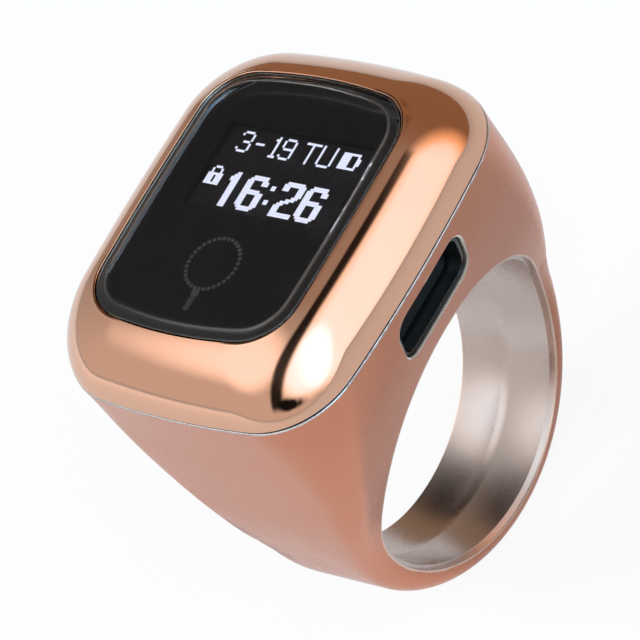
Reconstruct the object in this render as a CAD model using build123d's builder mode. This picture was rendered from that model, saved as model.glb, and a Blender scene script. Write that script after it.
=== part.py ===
"""Finger-ring digital tasbih counter: polished ring body, domed bezel, display, button and electronics.

Millimetres. The origin is the centre of the finger bore. +X runs along the finger, which is
also the reading direction of the display, +Y is the top of the display, +Z is out of the glass.
"""

from build123d import *
from math import hypot, pi, radians, sin, sqrt
import os

os.makedirs("parts", exist_ok=True)

# ---- Finger bore, liner and band ------------------------------------------------------------
bore_radius = 10.0
liner_wall = 0.3
liner_inset = 0.35          # how far the liner's ends lie inside the body's sides
liner_straight = 3.3        # the bore is a plain cylinder this far each side of the middle
liner_flare = 0.12          # and eases outwards by this much at the head's widest outline
crease_width = 0.9          # shallow V groove round the middle of the liner
crease_depth = 0.12
band_wall = 1.85            # outside the liner, at the sides of the hoop
hoop_lift = 0.6             # the hoop's outer circle is centred this far above the bore's axis
band_half_width = 3.9       # at the bottom of the hoop
hoop_half_width = 5.2       # where the hoop meets the shoulders
hoop_spread = 0.4           # how fast the band widens there, sideways per unit of height
edge_round = 1.3            # rounding of the band's outer edges

# ---- Head of the body, up to the seam under the bezel ---------------------------------------
head_rise = 6.9             # seam above the top of the bore
head_half_x = 11.6
head_half_y = 13.5
head_corner = 5.6
head_crown_x = 0.8          # how far the middle of each side bulges past its ends
head_crown_y = 0.9

# Shoulder sections below the seam: drop, narrowing of the half width, narrowing of the half
# length, corner radius, side crown and end crown
shoulders = [
    (13.9, 5.28, 0.8, 1.5, 0.06, 0.15),
    (10.4, 3.58, 0.55, 2.1, 0.12, 0.35),
    (6.9, 2.08, 0.4, 2.9, 0.3, 0.55),
    (3.5, 0.81, 0.25, 4.2, 0.6, 0.75),
]

# ---- Lens and bezel -------------------------------------------------------------------------
bezel_width_x = 3.45        # glass edge to the head's widest outline, at the sides
bezel_width_y = 3.75        # and at the ends
lens_corner = 3.5
lens_crown_x = 0.2
lens_crown_y = 0.9
lens_thickness = 1.4
lens_bevel = 1.0            # width of the sloping border of the glass
lens_bevel_drop = 0.3
lens_proud = 0.2            # glass above the bezel's rim
lens_fit = 0.06
bezel_rise = 4.05           # rim above the seam
bezel_rim = 0.14            # flat rim beside the glass
dome_bulge_x = 0.8          # how far the domed sides stand out from a straight slope
dome_bulge_y = 0.68
dome_corner_swell = 1.2     # how much rounder its corners are half way up
dome_sections = 6
ledge_width = 0.55
ledge_thickness = 0.6
rim_round = 0.07
seam_gap = 0.12
seam_round = 0.1            # small rounding of the metal on both sides of the seam
gasket_inset = 0.3

# ---- Cavity of the body ---------------------------------------------------------------------
floor_wall = 1.1
side_wall = 3.2             # wall of the head at its widest outline, at the sides
end_wall = 2.1              # and at the ends
cavity_corner = 3.5
cavity_crown = 0.1
mouth_step = 0.6            # rebate in the mouth of the cavity that the bezel's skirt fits
mouth_depth = 0.8
skirt_fit = 0.05
skirt_wall = 0.5
skirt_lift = 0.1            # lower edge of the skirt above the rebate
boss_radius = 1.7
boss_in_x = 1.8             # axis of each boss from the long wall of the cavity
boss_in_y = 2.2             # and from the end wall
foot_radius = 1.2           # feet of the display frame that stand on the bosses

# ---- Circuit board and what it carries ------------------------------------------------------
post_height = 0.4
post_radius = 1.2
post_in_x = 2.2
post_in_y = 5.4
board_thickness = 0.6
board_edge_gap = 1.0        # board to the walls of the cavity
boss_gap = 0.3
processor_side = 5.0
processor_height = 0.9
power_chip_side = 2.2
power_chip_height = 0.65
crystal_size = (2.0, 1.6, 0.5)
antenna_size = (1.6, 3.2, 0.6)
passive_size = (1.0, 0.5, 0.4)
passive_pitch_x = 1.45
passive_pitch_y = 0.95
processor_at = (-2.2, 2.2)
power_chip_at = (2.3, -3.2)
crystal_at = (-2.2, 6.4)
antenna_at = (-6.3, -0.6)
passive_columns = 2
passive_rows = 4
passive_groups = [(2.5, 4.2), (-2.6, -3.6)]

# ---- Display --------------------------------------------------------------------------------
adhesive_thickness = 0.2
adhesive_inset = 0.1
mask_thickness = 0.08       # black print sheet behind the glass
mask_inset = 0.05
pixel_pitch = 0.1747
pixel_columns = 64
pixel_rows = 32
display_x = 0.45            # centre of the lit area
display_y = 2.76
display_border = 0.35       # clear border of the mask round the lit area
tape_border = 0.6           # and of the tape under the mask
tape_inset = 0.1
panel_side_gap = 0.25       # panel to the edge of the window in the bezel
panel_height = 11.6
panel_top_margin = 1.5      # glass above the lit area
front_glass = 0.6
back_glass = 0.5
driver_ledge = 2.5          # back glass left bare below the front glass
driver_size = (8.0, 0.9, 0.3)
flex_width = 6.0
flex_thickness = 0.12
flex_overlap = 0.8
flex_bend = 0.3
flex_edge_gap = 0.05
foam_thickness = 0.4
foam_inset = 0.4
frame_thickness = 0.5
frame_gap = 0.1
flex_drop = 0.45            # the display's flex comes down this far from its connector
flex_slot_gap = 0.25
connector_size = (7.4, 1.7, 1.1)
connector_in_y = 1.9        # from the end wall of the cavity
connector_depth = 0.7
connector_play = 0.02

# ---- Battery --------------------------------------------------------------------------------
battery_wall_gap = 0.5      # cell to the long wall of the cavity
battery_switch_gap = 0.2    # cell to the switch
battery_end_gap = 4.2       # cell to the end walls, which leaves room for the bosses
battery_thickness = 2.9
battery_round = 0.5
lead_width = 0.8
lead_thickness = 0.2
lead_stand = 0.2
lead_rise = 1.0             # where the leads leave the cell, above its underside
lead_pitch = 1.5
lead_y = -5.0

# ---- Count button and switch ----------------------------------------------------------------
slot_y = 0.13
slot_above_floor = 2.5      # centre of the slot above the cavity's floor
slot_length = 7.75
slot_height = 3.8
slot_corner = 1.2
slot_chamfer = 0.12
seat_depth = 0.1            # flat seat cut in the cavity wall for the surround
seat_play = 0.05
surround_wall = 0.3
surround_recess = 0.35      # surround behind the body's side
surround_flange = 0.35
surround_lip = 0.35
key_gap = 0.06
key_recess = 2.6            # face of the key inside the head's widest outline
key_edge = 0.25
key_flange = 0.35
key_flange_lip = 0.22
key_travel = 0.25
stop_gap = 0.05
stem_radius = 0.7
stem_length = 0.5
plunger_radius = 0.6
plunger_length = 0.9
plunger_reach = 0.4         # how far it stands out of the switch
plunger_gap = 0.03
plunger_play = 0.03         # between the key's stem and the plunger
switch_width = 4.2
switch_depth = 2.1
switch_height = 2.75

# ---- Vibration motor ------------------------------------------------------------------------
motor_in_y = 2.05           # from the end wall of the cavity
motor_x = -1.6              # middle of the can
can_radius = 1.6
can_length = 6.0
can_wall = 0.2
can_lift = 0.35
saddle_length = 4.2
saddle_width = 2.0
saddle_drop = 0.5           # top of the saddle below the motor's axis
shaft_radius = 0.35
shaft_clearance = 0.03
shaft_nose = 3.1
end_cap = 0.4
magnet_bore = 0.45
magnet_radius = 0.8
magnet_length = 4.0
coil_gap = 0.15
coil_wall = 0.2
coil_disc = 0.3
weight_radius = 1.5
weight_length = 2.4
weight_gap = 0.4

# ---- Charging contacts ----------------------------------------------------------------------
contact_pitch = 5.0
contact_radius = 0.8
contact_head = 0.5
contact_stem_radius = 0.4
contact_recess = 0.03       # face of the contacts outside the bore's radius
sleeve_radius = 1.3
sleeve_rise = 0.2           # above the cavity's floor
sleeve_fit = 0.02

# ---- Screws ---------------------------------------------------------------------------------
frame_screw_radius = 0.6
frame_screw_length = 3.4
frame_head_radius = 1.1
frame_head_height = 0.45
board_screw_radius = 0.5
board_screw_length = 1.9
board_head_radius = 0.95
board_head_height = 0.45
screw_gap = 0.03
drive_width = 0.28
drive_depth = 0.2

# ---- Levels and places worked out from the sizes above --------------------------------------
cavity_half_x = head_half_x - side_wall
cavity_half_y = head_half_y - end_wall
lens_half_x = head_half_x - bezel_width_x
lens_half_y = head_half_y - bezel_width_y
boss_x, boss_y = cavity_half_x - boss_in_x, cavity_half_y - boss_in_y
post_x, post_y = cavity_half_x - post_in_x, cavity_half_y - post_in_y
connector_y = cavity_half_y - connector_in_y
flex_drop_y = connector_y - connector_size[1] / 2 - flex_drop
motor_y = motor_in_y - cavity_half_y
key_face_x = head_half_x - key_recess
panel_width = 2 * (lens_half_x - ledge_width - panel_side_gap - display_x)
liner_radius = bore_radius + liner_wall
hoop_radius = liner_radius + band_wall
seam_height = bore_radius + head_rise
floor_height = liner_radius + floor_wall
mouth_height = seam_height - mouth_depth
body_top = seam_height - seam_gap / 2
bezel_bottom = seam_height + seam_gap / 2
bezel_top = seam_height + bezel_rise
lens_top = bezel_top + lens_proud
lens_bottom = lens_top - lens_thickness
mask_bottom = lens_bottom - mask_thickness
panel_top = mask_bottom - adhesive_thickness
ledge_bottom = panel_top - ledge_thickness
rim_grow = lens_fit + bezel_rim
skirt_grow = mouth_step - skirt_fit
inside_grow = skirt_grow - skirt_wall
board_bottom = floor_height + post_height
board_top = board_bottom + board_thickness
panel_high_y = display_y + pixel_rows * pixel_pitch / 2 + panel_top_margin
panel_low_y = panel_high_y - panel_height
back_top = panel_top - front_glass
panel_bottom = back_top - back_glass
foam_top = panel_bottom - flex_thickness
frame_top = foam_top - foam_thickness
frame_bottom = frame_top - frame_thickness
cell_bottom = frame_bottom - battery_thickness
slot_x = cavity_half_x - cavity_crown
slot_z = floor_height + slot_above_floor
seat_x = cavity_half_x + seat_depth
key_stop_x = seat_x - surround_flange - stop_gap
stem_x = key_stop_x - key_flange - stem_length
plunger_x = stem_x - plunger_play
switch_x = plunger_x - plunger_reach
battery_low_x = battery_wall_gap - cavity_half_x
battery_high_x = switch_x - switch_depth - battery_switch_gap
battery_length = 2 * (cavity_half_y - battery_end_gap)
motor_z = board_top + can_lift + can_radius
can_back = motor_x - can_length / 2
can_front = motor_x + can_length / 2
shaft_back = can_back + end_cap
coil_radius = magnet_radius + coil_gap
weight_back = can_front + weight_gap


def pillow(height, half_x, half_y, corner, crown_x, crown_y):
    """Rounded rectangle with gently bulging sides, in a level plane."""
    end_x, end_y = half_x - crown_x, half_y - crown_y
    with BuildSketch(Plane.XY.offset(height)) as outline:
        with BuildLine():
            ThreePointArc((end_x, -end_y), (half_x, 0), (end_x, end_y))
            ThreePointArc((end_x, end_y), (0, half_y), (-end_x, end_y))
            ThreePointArc((-end_x, end_y), (-half_x, 0), (-end_x, -end_y))
            ThreePointArc((-end_x, -end_y), (0, -half_y), (end_x, -end_y))
        make_face()
        fillet(outline.vertices(), corner)
    return outline.sketch


def room(height, grow=0.0):
    """Outline of the cavity, grown or shrunk all round."""
    return pillow(height, cavity_half_x + grow, cavity_half_y + grow, cavity_corner + grow,
                  cavity_crown, cavity_crown)


def glass(height, grow=0.0):
    """Outline of the lens, grown or shrunk all round."""
    return pillow(height, lens_half_x + grow, lens_half_y + grow, lens_corner + grow,
                  lens_crown_x, lens_crown_y)


def ring_form(inset, top):
    """Solid outer form of the ring, with its +X and -X sides moved in by inset."""
    sections = [pillow(hoop_lift, hoop_half_width - inset, hoop_radius, edge_round, 0.04, 0.04)]
    for drop, narrow_x, narrow_y, corner, crown_x, crown_y in shoulders:
        sections.append(pillow(seam_height - drop, head_half_x - narrow_x - inset,
                               head_half_y - narrow_y, corner, crown_x, crown_y))
    sections.append(pillow(top, head_half_x - inset, head_half_y, head_corner,
                           head_crown_x, head_crown_y))
    bottom = hoop_lift - hoop_radius
    with BuildPart() as hoop:
        with BuildSketch(Plane.YZ):
            with Locations((0, hoop_lift)):
                Circle(hoop_radius)
            with Locations((0, hoop_lift + hoop_radius)):
                Rectangle(2 * hoop_radius, 2 * hoop_radius, mode=Mode.SUBTRACT)
        extrude(amount=hoop_half_width, both=True)
        with BuildSketch(Plane.XZ):
            with BuildLine():
                side = Spline((hoop_half_width - inset, hoop_lift), (band_half_width - inset, bottom),
                              tangents=((-hoop_spread, -1), (0, -1)))
                Polyline(side @ 1, (0, bottom), (0, hoop_lift), side @ 0)
            make_face()
            mirror(about=Plane.YZ)
        extrude(amount=hoop_radius, both=True, mode=Mode.INTERSECT)
        outer = [edge for edge in hoop.edges()
                 if (edge @ 0.5).Z < hoop_lift - 1 and abs((edge @ 0.5).X) > 1]
        fillet(outer, edge_round)
    with BuildPart() as form:
        loft(sections=sections)
        add(hoop.part)
    return form.part


def along_x(x, y, z):
    """Plane at (x, y, z) whose normal is +X and whose own x direction is +Y."""
    return Plane(origin=(x, y, z), x_dir=(0, 1, 0), z_dir=(1, 0, 0))


def corners(x, y):
    """The four places at plus and minus x and y."""
    return Locations((x, y), (x, -y), (-x, y), (-x, -y))


def save(part, name):
    """Labels a finished piece and writes it under its own name."""
    part.part.label = name
    export_step(part.part, f"parts/{name}.step")


def domed(start, end, height, bulge):
    """Half size at a height of the arc between two (half size, height) points."""
    length = hypot(end[0] - start[0], end[1] - start[1])
    radius = (length ** 2 / 4 + bulge ** 2) / (2 * bulge)
    inward = (radius - bulge) / length
    middle_x = (start[0] + end[0]) / 2 - (end[1] - start[1]) * inward
    middle_z = (start[1] + end[1]) / 2 - (start[0] - end[0]) * inward
    return middle_x + sqrt(radius ** 2 - (height - middle_z) ** 2)


def screws(x, y, seat, shank_radius, length, head_radius, head_height):
    """Four cross-head screws standing on a level seat."""
    with BuildPart() as group:
        with BuildSketch(Plane.XY.offset(seat)):
            with corners(x, y):
                Circle(head_radius)
        extrude(amount=head_height)
        chamfer(group.edges().group_by(Axis.Z)[-1], head_height / 4)
        with BuildSketch(Plane.XY.offset(seat)):
            with corners(x, y):
                Circle(shank_radius)
        extrude(amount=-length)
        with BuildSketch(Plane.XY.offset(seat + head_height)):
            with corners(x, y):
                Rectangle(head_radius * 1.2, drive_width)
                Rectangle(drive_width, head_radius * 1.2)
        extrude(amount=-drive_depth, mode=Mode.SUBTRACT)
    return group


# ---- Ring body ------------------------------------------------------------------------------
with BuildPart() as ring_body:
    add(ring_form(0, body_top))
    fillet(ring_body.edges().group_by(Axis.Z)[-1], seam_round)
    with BuildSketch(Plane.YZ):
        Circle(liner_radius)
    extrude(amount=2 * head_half_x, both=True, mode=Mode.SUBTRACT)
    extrude(room(floor_height), amount=2 * head_rise, mode=Mode.SUBTRACT)
    extrude(room(mouth_height, mouth_step), amount=2 * head_rise, mode=Mode.SUBTRACT)
    with BuildSketch(Plane.XY.offset(floor_height)):
        with corners(boss_x, boss_y):
            Circle(boss_radius)
    extrude(amount=mouth_height - floor_height)
    with BuildSketch(Plane.XY.offset(floor_height)):
        with corners(post_x, post_y):
            Circle(post_radius)
    extrude(amount=post_height)
    with BuildSketch(Plane.XY.offset(mouth_height)):
        with corners(boss_x, boss_y):
            Circle(frame_screw_radius + screw_gap)
    extrude(amount=-frame_screw_length, mode=Mode.SUBTRACT)
    with BuildSketch(Plane.XY.offset(board_bottom)):
        with corners(post_x, post_y):
            Circle(board_screw_radius + screw_gap)
    extrude(amount=-board_screw_length, mode=Mode.SUBTRACT)
    with BuildSketch(along_x(slot_x, slot_y, slot_z)):
        RectangleRounded(slot_length, slot_height, slot_corner)
    extrude(amount=head_half_x, mode=Mode.SUBTRACT)
    chamfer([edge for edge in ring_body.edges(Select.LAST) if (edge @ 0.5).X > bore_radius],
            slot_chamfer)
    seat_grow = 2 * (surround_lip + seat_play)
    with BuildSketch(along_x(seat_x, slot_y, slot_z)):
        RectangleRounded(slot_length + seat_grow, slot_height + seat_grow, slot_corner)
    extrude(amount=slot_x - seat_x - seat_depth, mode=Mode.SUBTRACT)
    with BuildSketch(Plane.XY.offset(floor_height)):
        with GridLocations(contact_pitch, 0, 2, 1):
            Circle(sleeve_radius + sleeve_fit)
    extrude(amount=-2 * floor_wall, mode=Mode.SUBTRACT)
save(ring_body, "ring_body")

# ---- Liner of the finger bore ---------------------------------------------------------------
with BuildPart() as finger_liner:
    with BuildSketch(Plane.YZ):
        Circle(liner_radius)
        Circle(bore_radius, mode=Mode.SUBTRACT)
    extrude(amount=head_half_x, both=True)
    add(ring_form(liner_inset, body_top), mode=Mode.INTERSECT)
    with BuildSketch(Plane.XZ):
        with BuildLine():
            Polyline((-crease_width / 2, bore_radius), (0, bore_radius + crease_depth),
                     (crease_width / 2, bore_radius), (0, bore_radius - crease_depth), close=True)
        make_face()
        with BuildLine():
            Polyline((liner_straight, bore_radius), (head_half_x, bore_radius + liner_flare),
                     (head_half_x, bore_radius - liner_flare), close=True)
        make_face()
        mirror(about=Plane.YZ)
    revolve(axis=Axis.X, mode=Mode.SUBTRACT)
    with BuildSketch(Plane.XY):
        with GridLocations(contact_pitch, 0, 2, 1):
            Circle(sleeve_radius + sleeve_fit)
    extrude(amount=2 * bore_radius, mode=Mode.SUBTRACT)
save(finger_liner, "finger_liner")

# ---- Bezel ----------------------------------------------------------------------------------
seam_x, seam_y = (head_half_x, bezel_bottom), (head_half_y, bezel_bottom)
rim_x, rim_y = (lens_half_x + rim_grow, bezel_top), (lens_half_y + rim_grow, bezel_top)
dome = []
for step in range(dome_sections + 1):
    share = sin(radians(90 * step / dome_sections))
    height = bezel_bottom + share * (bezel_top - bezel_bottom)
    dome.append(pillow(
        height,
        domed(seam_x, rim_x, height, dome_bulge_x),
        domed(seam_y, rim_y, height, dome_bulge_y),
        head_corner + share * (lens_corner + rim_grow - head_corner)
        + dome_corner_swell * sin(pi * step / dome_sections),
        head_crown_x + share * (lens_crown_x - head_crown_x),
        head_crown_y + share * (lens_crown_y - head_crown_y)))

with BuildPart() as bezel_cover:
    loft(sections=dome)
    fillet(bezel_cover.edges().group_by(Axis.Z)[0], seam_round)
    extrude(room(mouth_height + skirt_lift, skirt_grow), amount=mouth_depth)
    extrude(room(mouth_height, inside_grow), amount=ledge_bottom - mouth_height, mode=Mode.SUBTRACT)
    extrude(glass(mouth_height, -ledge_width), amount=head_rise, mode=Mode.SUBTRACT)
    extrude(glass(panel_top, lens_fit), amount=head_rise, mode=Mode.SUBTRACT)
    fillet(bezel_cover.edges().group_by(Axis.Z)[-1], rim_round)
save(bezel_cover, "bezel_cover")

with BuildPart() as seam_gasket:
    extrude(pillow(body_top, head_half_x - gasket_inset, head_half_y - gasket_inset,
                   head_corner - gasket_inset, head_crown_x, head_crown_y), amount=seam_gap)
    extrude(room(body_top, mouth_step), amount=seam_gap, mode=Mode.SUBTRACT)
save(seam_gasket, "seam_gasket")

# ---- Lens and the layers under it -----------------------------------------------------------
with BuildPart() as glass_lens:
    extrude(glass(lens_bottom), amount=lens_thickness - lens_bevel_drop)
    loft(sections=[glass(lens_top - lens_bevel_drop), glass(lens_top, -lens_bevel)], ruled=True)
save(glass_lens, "glass_lens")

lit_width, lit_height = pixel_columns * pixel_pitch, pixel_rows * pixel_pitch

with BuildPart() as lens_mask:
    extrude(glass(mask_bottom, -mask_inset), amount=mask_thickness)
    with BuildSketch(Plane.XY.offset(mask_bottom)):
        with Locations((display_x, display_y)):
            Rectangle(lit_width + 2 * display_border, lit_height + 2 * display_border)
    extrude(amount=mask_thickness, mode=Mode.SUBTRACT)
save(lens_mask, "lens_mask")

with BuildPart() as lens_adhesive:
    extrude(glass(panel_top, -adhesive_inset), amount=adhesive_thickness)
    extrude(glass(panel_top, -ledge_width), amount=adhesive_thickness, mode=Mode.SUBTRACT)
save(lens_adhesive, "lens_adhesive")

# ---- Display --------------------------------------------------------------------------------
with BuildPart() as oled_panel:
    with BuildSketch(Plane.XY.offset(panel_bottom)):
        with Locations((display_x, panel_low_y)):
            Rectangle(panel_width, panel_height, align=(Align.CENTER, Align.MIN))
    extrude(amount=back_glass)
    with BuildSketch(Plane.XY.offset(back_top)):
        with Locations((display_x, panel_high_y)):
            Rectangle(panel_width, panel_height - driver_ledge, align=(Align.CENTER, Align.MAX))
    extrude(amount=front_glass)
save(oled_panel, "oled_panel")

with BuildPart() as panel_tape:
    with BuildSketch(Plane.XY.offset(panel_top)):
        with Locations((display_x, panel_high_y - tape_inset)):
            Rectangle(panel_width - 2 * tape_inset, panel_height - driver_ledge - 2 * tape_inset,
                      align=(Align.CENTER, Align.MAX))
        with Locations((display_x, display_y)):
            Rectangle(lit_width + 2 * tape_border, lit_height + 2 * tape_border, mode=Mode.SUBTRACT)
    extrude(amount=adhesive_thickness)
save(panel_tape, "panel_tape")

with BuildPart() as display_driver:
    with Locations((display_x, panel_low_y + driver_ledge / 2 + flex_overlap / 2, back_top)):
        Box(*driver_size, align=(Align.CENTER, Align.CENTER, Align.MIN))
save(display_driver, "display_driver")

flex_top = back_top + flex_thickness / 2
flex_under = panel_bottom - flex_thickness / 2
flex_turn = panel_low_y - flex_edge_gap - (flex_top - flex_under) / 2
plug_z = board_top + connector_size[2] / 2
mouth_y = connector_y - connector_size[1] / 2

with BuildPart() as display_flex:
    with BuildSketch(Plane.YZ.offset(display_x)):
        with BuildLine():
            FilletPolyline((panel_low_y + flex_overlap, flex_top), (flex_turn, flex_top),
                           (flex_turn, flex_under), (flex_drop_y, flex_under),
                           (flex_drop_y, plug_z), (mouth_y + connector_depth, plug_z),
                           radius=flex_bend)
        trace(line_width=flex_thickness)
    extrude(amount=flex_width / 2, both=True)
save(display_flex, "display_flex")

with BuildPart() as foam_pad:
    with BuildSketch(Plane.XY.offset(frame_top)):
        with Locations((display_x, panel_low_y + foam_inset)):
            Rectangle(panel_width - 2 * foam_inset, panel_height - 2 * foam_inset,
                      align=(Align.CENTER, Align.MIN))
    extrude(amount=foam_thickness)
save(foam_pad, "foam_pad")

with BuildPart() as display_frame:
    extrude(room(frame_bottom, inside_grow - frame_gap), amount=frame_thickness)
    with BuildSketch(Plane.XY.offset(mouth_height)):
        with corners(boss_x, boss_y):
            Circle(foot_radius)
    extrude(amount=frame_bottom - mouth_height)
    with BuildSketch(Plane.XY.offset(mouth_height)):
        with corners(boss_x, boss_y):
            Circle(frame_screw_radius + screw_gap)
    extrude(amount=frame_top - mouth_height, mode=Mode.SUBTRACT)
    with BuildSketch(Plane.XY.offset(frame_bottom)):
        with Locations((display_x, flex_drop_y)):
            Rectangle(flex_width + 2 * flex_slot_gap, flex_thickness + 2 * flex_slot_gap)
    extrude(amount=frame_thickness, mode=Mode.SUBTRACT)
save(display_frame, "display_frame")

frame_screws = screws(boss_x, boss_y, frame_top, frame_screw_radius, frame_screw_length,
                      frame_head_radius, frame_head_height)
save(frame_screws, "frame_screws")

# ---- Battery --------------------------------------------------------------------------------
with BuildPart() as battery_cell:
    with BuildSketch(Plane.XY.offset(cell_bottom)):
        with Locations((battery_low_x, 0)):
            Rectangle(battery_high_x - battery_low_x, battery_length,
                      align=(Align.MIN, Align.CENTER))
    extrude(amount=battery_thickness)
    fillet(battery_cell.edges(), battery_round)
save(battery_cell, "battery_cell")

lead_top = cell_bottom + lead_rise

with BuildPart() as battery_leads:
    with BuildSketch(Plane.XZ.offset(-lead_y)):
        with Locations((battery_high_x, lead_top)):
            Rectangle(lead_stand + lead_thickness, lead_thickness, align=(Align.MIN, Align.MAX))
        with Locations((battery_high_x + lead_stand, lead_top)):
            Rectangle(lead_thickness, lead_top - board_top, align=(Align.MIN, Align.MAX))
        with Locations((battery_high_x + lead_stand, board_top)):
            Rectangle(3 * lead_thickness, lead_thickness, align=(Align.MIN, Align.MIN))
    extrude(amount=lead_width / 2, both=True)
    with Locations((0, lead_pitch, 0), (0, -lead_pitch, 0)):
        add(battery_leads.part)
save(battery_leads, "battery_leads")

# ---- Circuit board and its parts ------------------------------------------------------------
with BuildPart() as circuit_board:
    extrude(room(board_bottom, -board_edge_gap), amount=board_thickness)
    with BuildSketch(Plane.XY.offset(board_bottom)):
        with corners(boss_x, boss_y):
            Circle(boss_radius + boss_gap)
        with corners(post_x, post_y):
            Circle(board_screw_radius + screw_gap)
    extrude(amount=board_thickness, mode=Mode.SUBTRACT)
save(circuit_board, "circuit_board")


def chip(name, place, size):
    """Box standing on the board, written under its own name."""
    with BuildPart() as block:
        with Locations((*place, board_top)):
            Box(*size, align=(Align.CENTER, Align.CENTER, Align.MIN))
        chamfer(block.edges().group_by(Axis.Z)[-1], size[2] / 10)
    save(block, name)


chip("processor_chip", processor_at, (processor_side, processor_side, processor_height))
chip("power_chip", power_chip_at, (power_chip_side, power_chip_side, power_chip_height))
chip("crystal_can", crystal_at, crystal_size)
chip("chip_antenna", antenna_at, antenna_size)

with BuildPart() as passive_parts:
    for x, y in passive_groups:
        with Locations((x, y, board_top)):
            with GridLocations(passive_pitch_x, passive_pitch_y, passive_columns, passive_rows):
                Box(*passive_size, align=(Align.CENTER, Align.CENTER, Align.MIN))
save(passive_parts, "passive_parts")

with BuildPart() as flex_connector:
    with Locations((display_x, connector_y, board_top)):
        Box(*connector_size, align=(Align.CENTER, Align.CENTER, Align.MIN))
    with Locations((display_x, mouth_y, plug_z)):
        Box(flex_width + 2 * connector_play, connector_depth + connector_play,
            flex_thickness + 2 * connector_play,
            align=(Align.CENTER, Align.MIN, Align.CENTER), mode=Mode.SUBTRACT)
save(flex_connector, "flex_connector")

board_screws = screws(post_x, post_y, board_top, board_screw_radius, board_screw_length,
                      board_head_radius, board_head_height)
save(board_screws, "board_screws")

# ---- Count button, its surround and the switch ----------------------------------------------
sleeve_length, sleeve_height = slot_length - 2 * seat_play, slot_height - 2 * seat_play
opening_length, opening_height = slot_length - 2 * surround_wall, slot_height - 2 * surround_wall
opening_corner = slot_corner - surround_wall
key_length, key_height = opening_length - 2 * key_gap, opening_height - 2 * key_gap

with BuildPart() as button_surround:
    with BuildSketch(along_x(seat_x, slot_y, slot_z)):
        RectangleRounded(slot_length + 2 * surround_lip, slot_height + 2 * surround_lip, slot_corner)
    extrude(amount=-surround_flange)
    with BuildSketch(along_x(seat_x, slot_y, slot_z)):
        RectangleRounded(sleeve_length, sleeve_height, slot_corner - seat_play)
    extrude(amount=head_half_x - seat_x)
    add(ring_form(surround_recess, body_top), mode=Mode.INTERSECT)
    with BuildSketch(along_x(seat_x - surround_flange, slot_y, slot_z)):
        RectangleRounded(opening_length, opening_height, opening_corner)
    extrude(amount=head_half_x, mode=Mode.SUBTRACT)
save(button_surround, "button_surround")

with BuildPart() as count_button:
    with BuildSketch(along_x(key_stop_x, slot_y, slot_z)):
        RectangleRounded(key_length, key_height, opening_corner - key_gap)
    extrude(amount=key_face_x - key_stop_x)
    fillet(count_button.edges().group_by(Axis.X)[-1], key_edge)
    with BuildSketch(along_x(key_stop_x, slot_y, slot_z)):
        RectangleRounded(key_length + 2 * key_flange_lip, key_height + 2 * key_flange_lip,
                         opening_corner)
    extrude(amount=-key_flange)
    with BuildSketch(along_x(stem_x, slot_y, slot_z)):
        Circle(stem_radius)
    extrude(amount=stem_length)
save(count_button, "count_button")

with BuildPart() as switch_plunger:
    with BuildSketch(along_x(plunger_x, slot_y, slot_z)):
        Circle(plunger_radius)
    extrude(amount=-plunger_length)
    chamfer(switch_plunger.edges().group_by(Axis.X)[-1], plunger_gap)
save(switch_plunger, "switch_plunger")

with BuildPart() as tact_switch:
    with Locations((switch_x, slot_y, board_top)):
        Box(switch_depth, switch_width, switch_height, align=(Align.MAX, Align.CENTER, Align.MIN))
    with BuildSketch(along_x(switch_x, slot_y, slot_z)):
        Circle(plunger_radius + plunger_gap)
    extrude(amount=-(plunger_length - plunger_reach + 2 * key_travel), mode=Mode.SUBTRACT)
save(tact_switch, "tact_switch")

# ---- Vibration motor ------------------------------------------------------------------------
with BuildPart() as motor_can:
    with BuildSketch(along_x(can_back, motor_y, motor_z)):
        Circle(can_radius)
    extrude(amount=can_length)
    chamfer(motor_can.edges().group_by(Axis.X)[-1], can_wall / 2)
    with BuildSketch(along_x(can_back, motor_y, motor_z)):
        Circle(can_radius - can_wall)
    extrude(amount=can_length - end_cap, mode=Mode.SUBTRACT)
    with BuildSketch(along_x(can_back, motor_y, motor_z)):
        Circle(shaft_radius + shaft_clearance)
    extrude(amount=can_length, mode=Mode.SUBTRACT)
save(motor_can, "motor_can")

with BuildPart() as motor_cap:
    with BuildSketch(along_x(can_back, motor_y, motor_z)):
        Circle(can_radius - can_wall)
    extrude(amount=end_cap - shaft_clearance)
save(motor_cap, "motor_cap")

with BuildPart() as motor_magnet:
    with BuildSketch(along_x(can_front - end_cap, motor_y, motor_z)):
        Circle(magnet_radius)
        Circle(magnet_bore, mode=Mode.SUBTRACT)
    extrude(amount=-magnet_length)
save(motor_magnet, "motor_magnet")

with BuildPart() as motor_coil:
    with BuildSketch(along_x(shaft_back + coil_disc, motor_y, motor_z)):
        Circle(coil_radius + coil_wall)
        Circle(coil_radius, mode=Mode.SUBTRACT)
    extrude(amount=magnet_length)
    with BuildSketch(along_x(shaft_back, motor_y, motor_z)):
        Circle(coil_radius + coil_wall)
        Circle(shaft_radius, mode=Mode.SUBTRACT)
    extrude(amount=coil_disc)
save(motor_coil, "motor_coil")

with BuildPart() as motor_shaft:
    with BuildSketch(along_x(shaft_back, motor_y, motor_z)):
        Circle(shaft_radius)
    extrude(amount=can_front + shaft_nose - shaft_back)
save(motor_shaft, "motor_shaft")

with BuildPart() as motor_weight:
    with BuildSketch(along_x(weight_back, motor_y, motor_z)):
        Circle(weight_radius)
        with Locations((0, shaft_radius)):
            Rectangle(2 * weight_radius, weight_radius, align=(Align.CENTER, Align.MIN),
                      mode=Mode.SUBTRACT)
        Circle(2 * shaft_radius)
        Circle(shaft_radius, mode=Mode.SUBTRACT)
    extrude(amount=weight_length)
save(motor_weight, "motor_weight")

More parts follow.
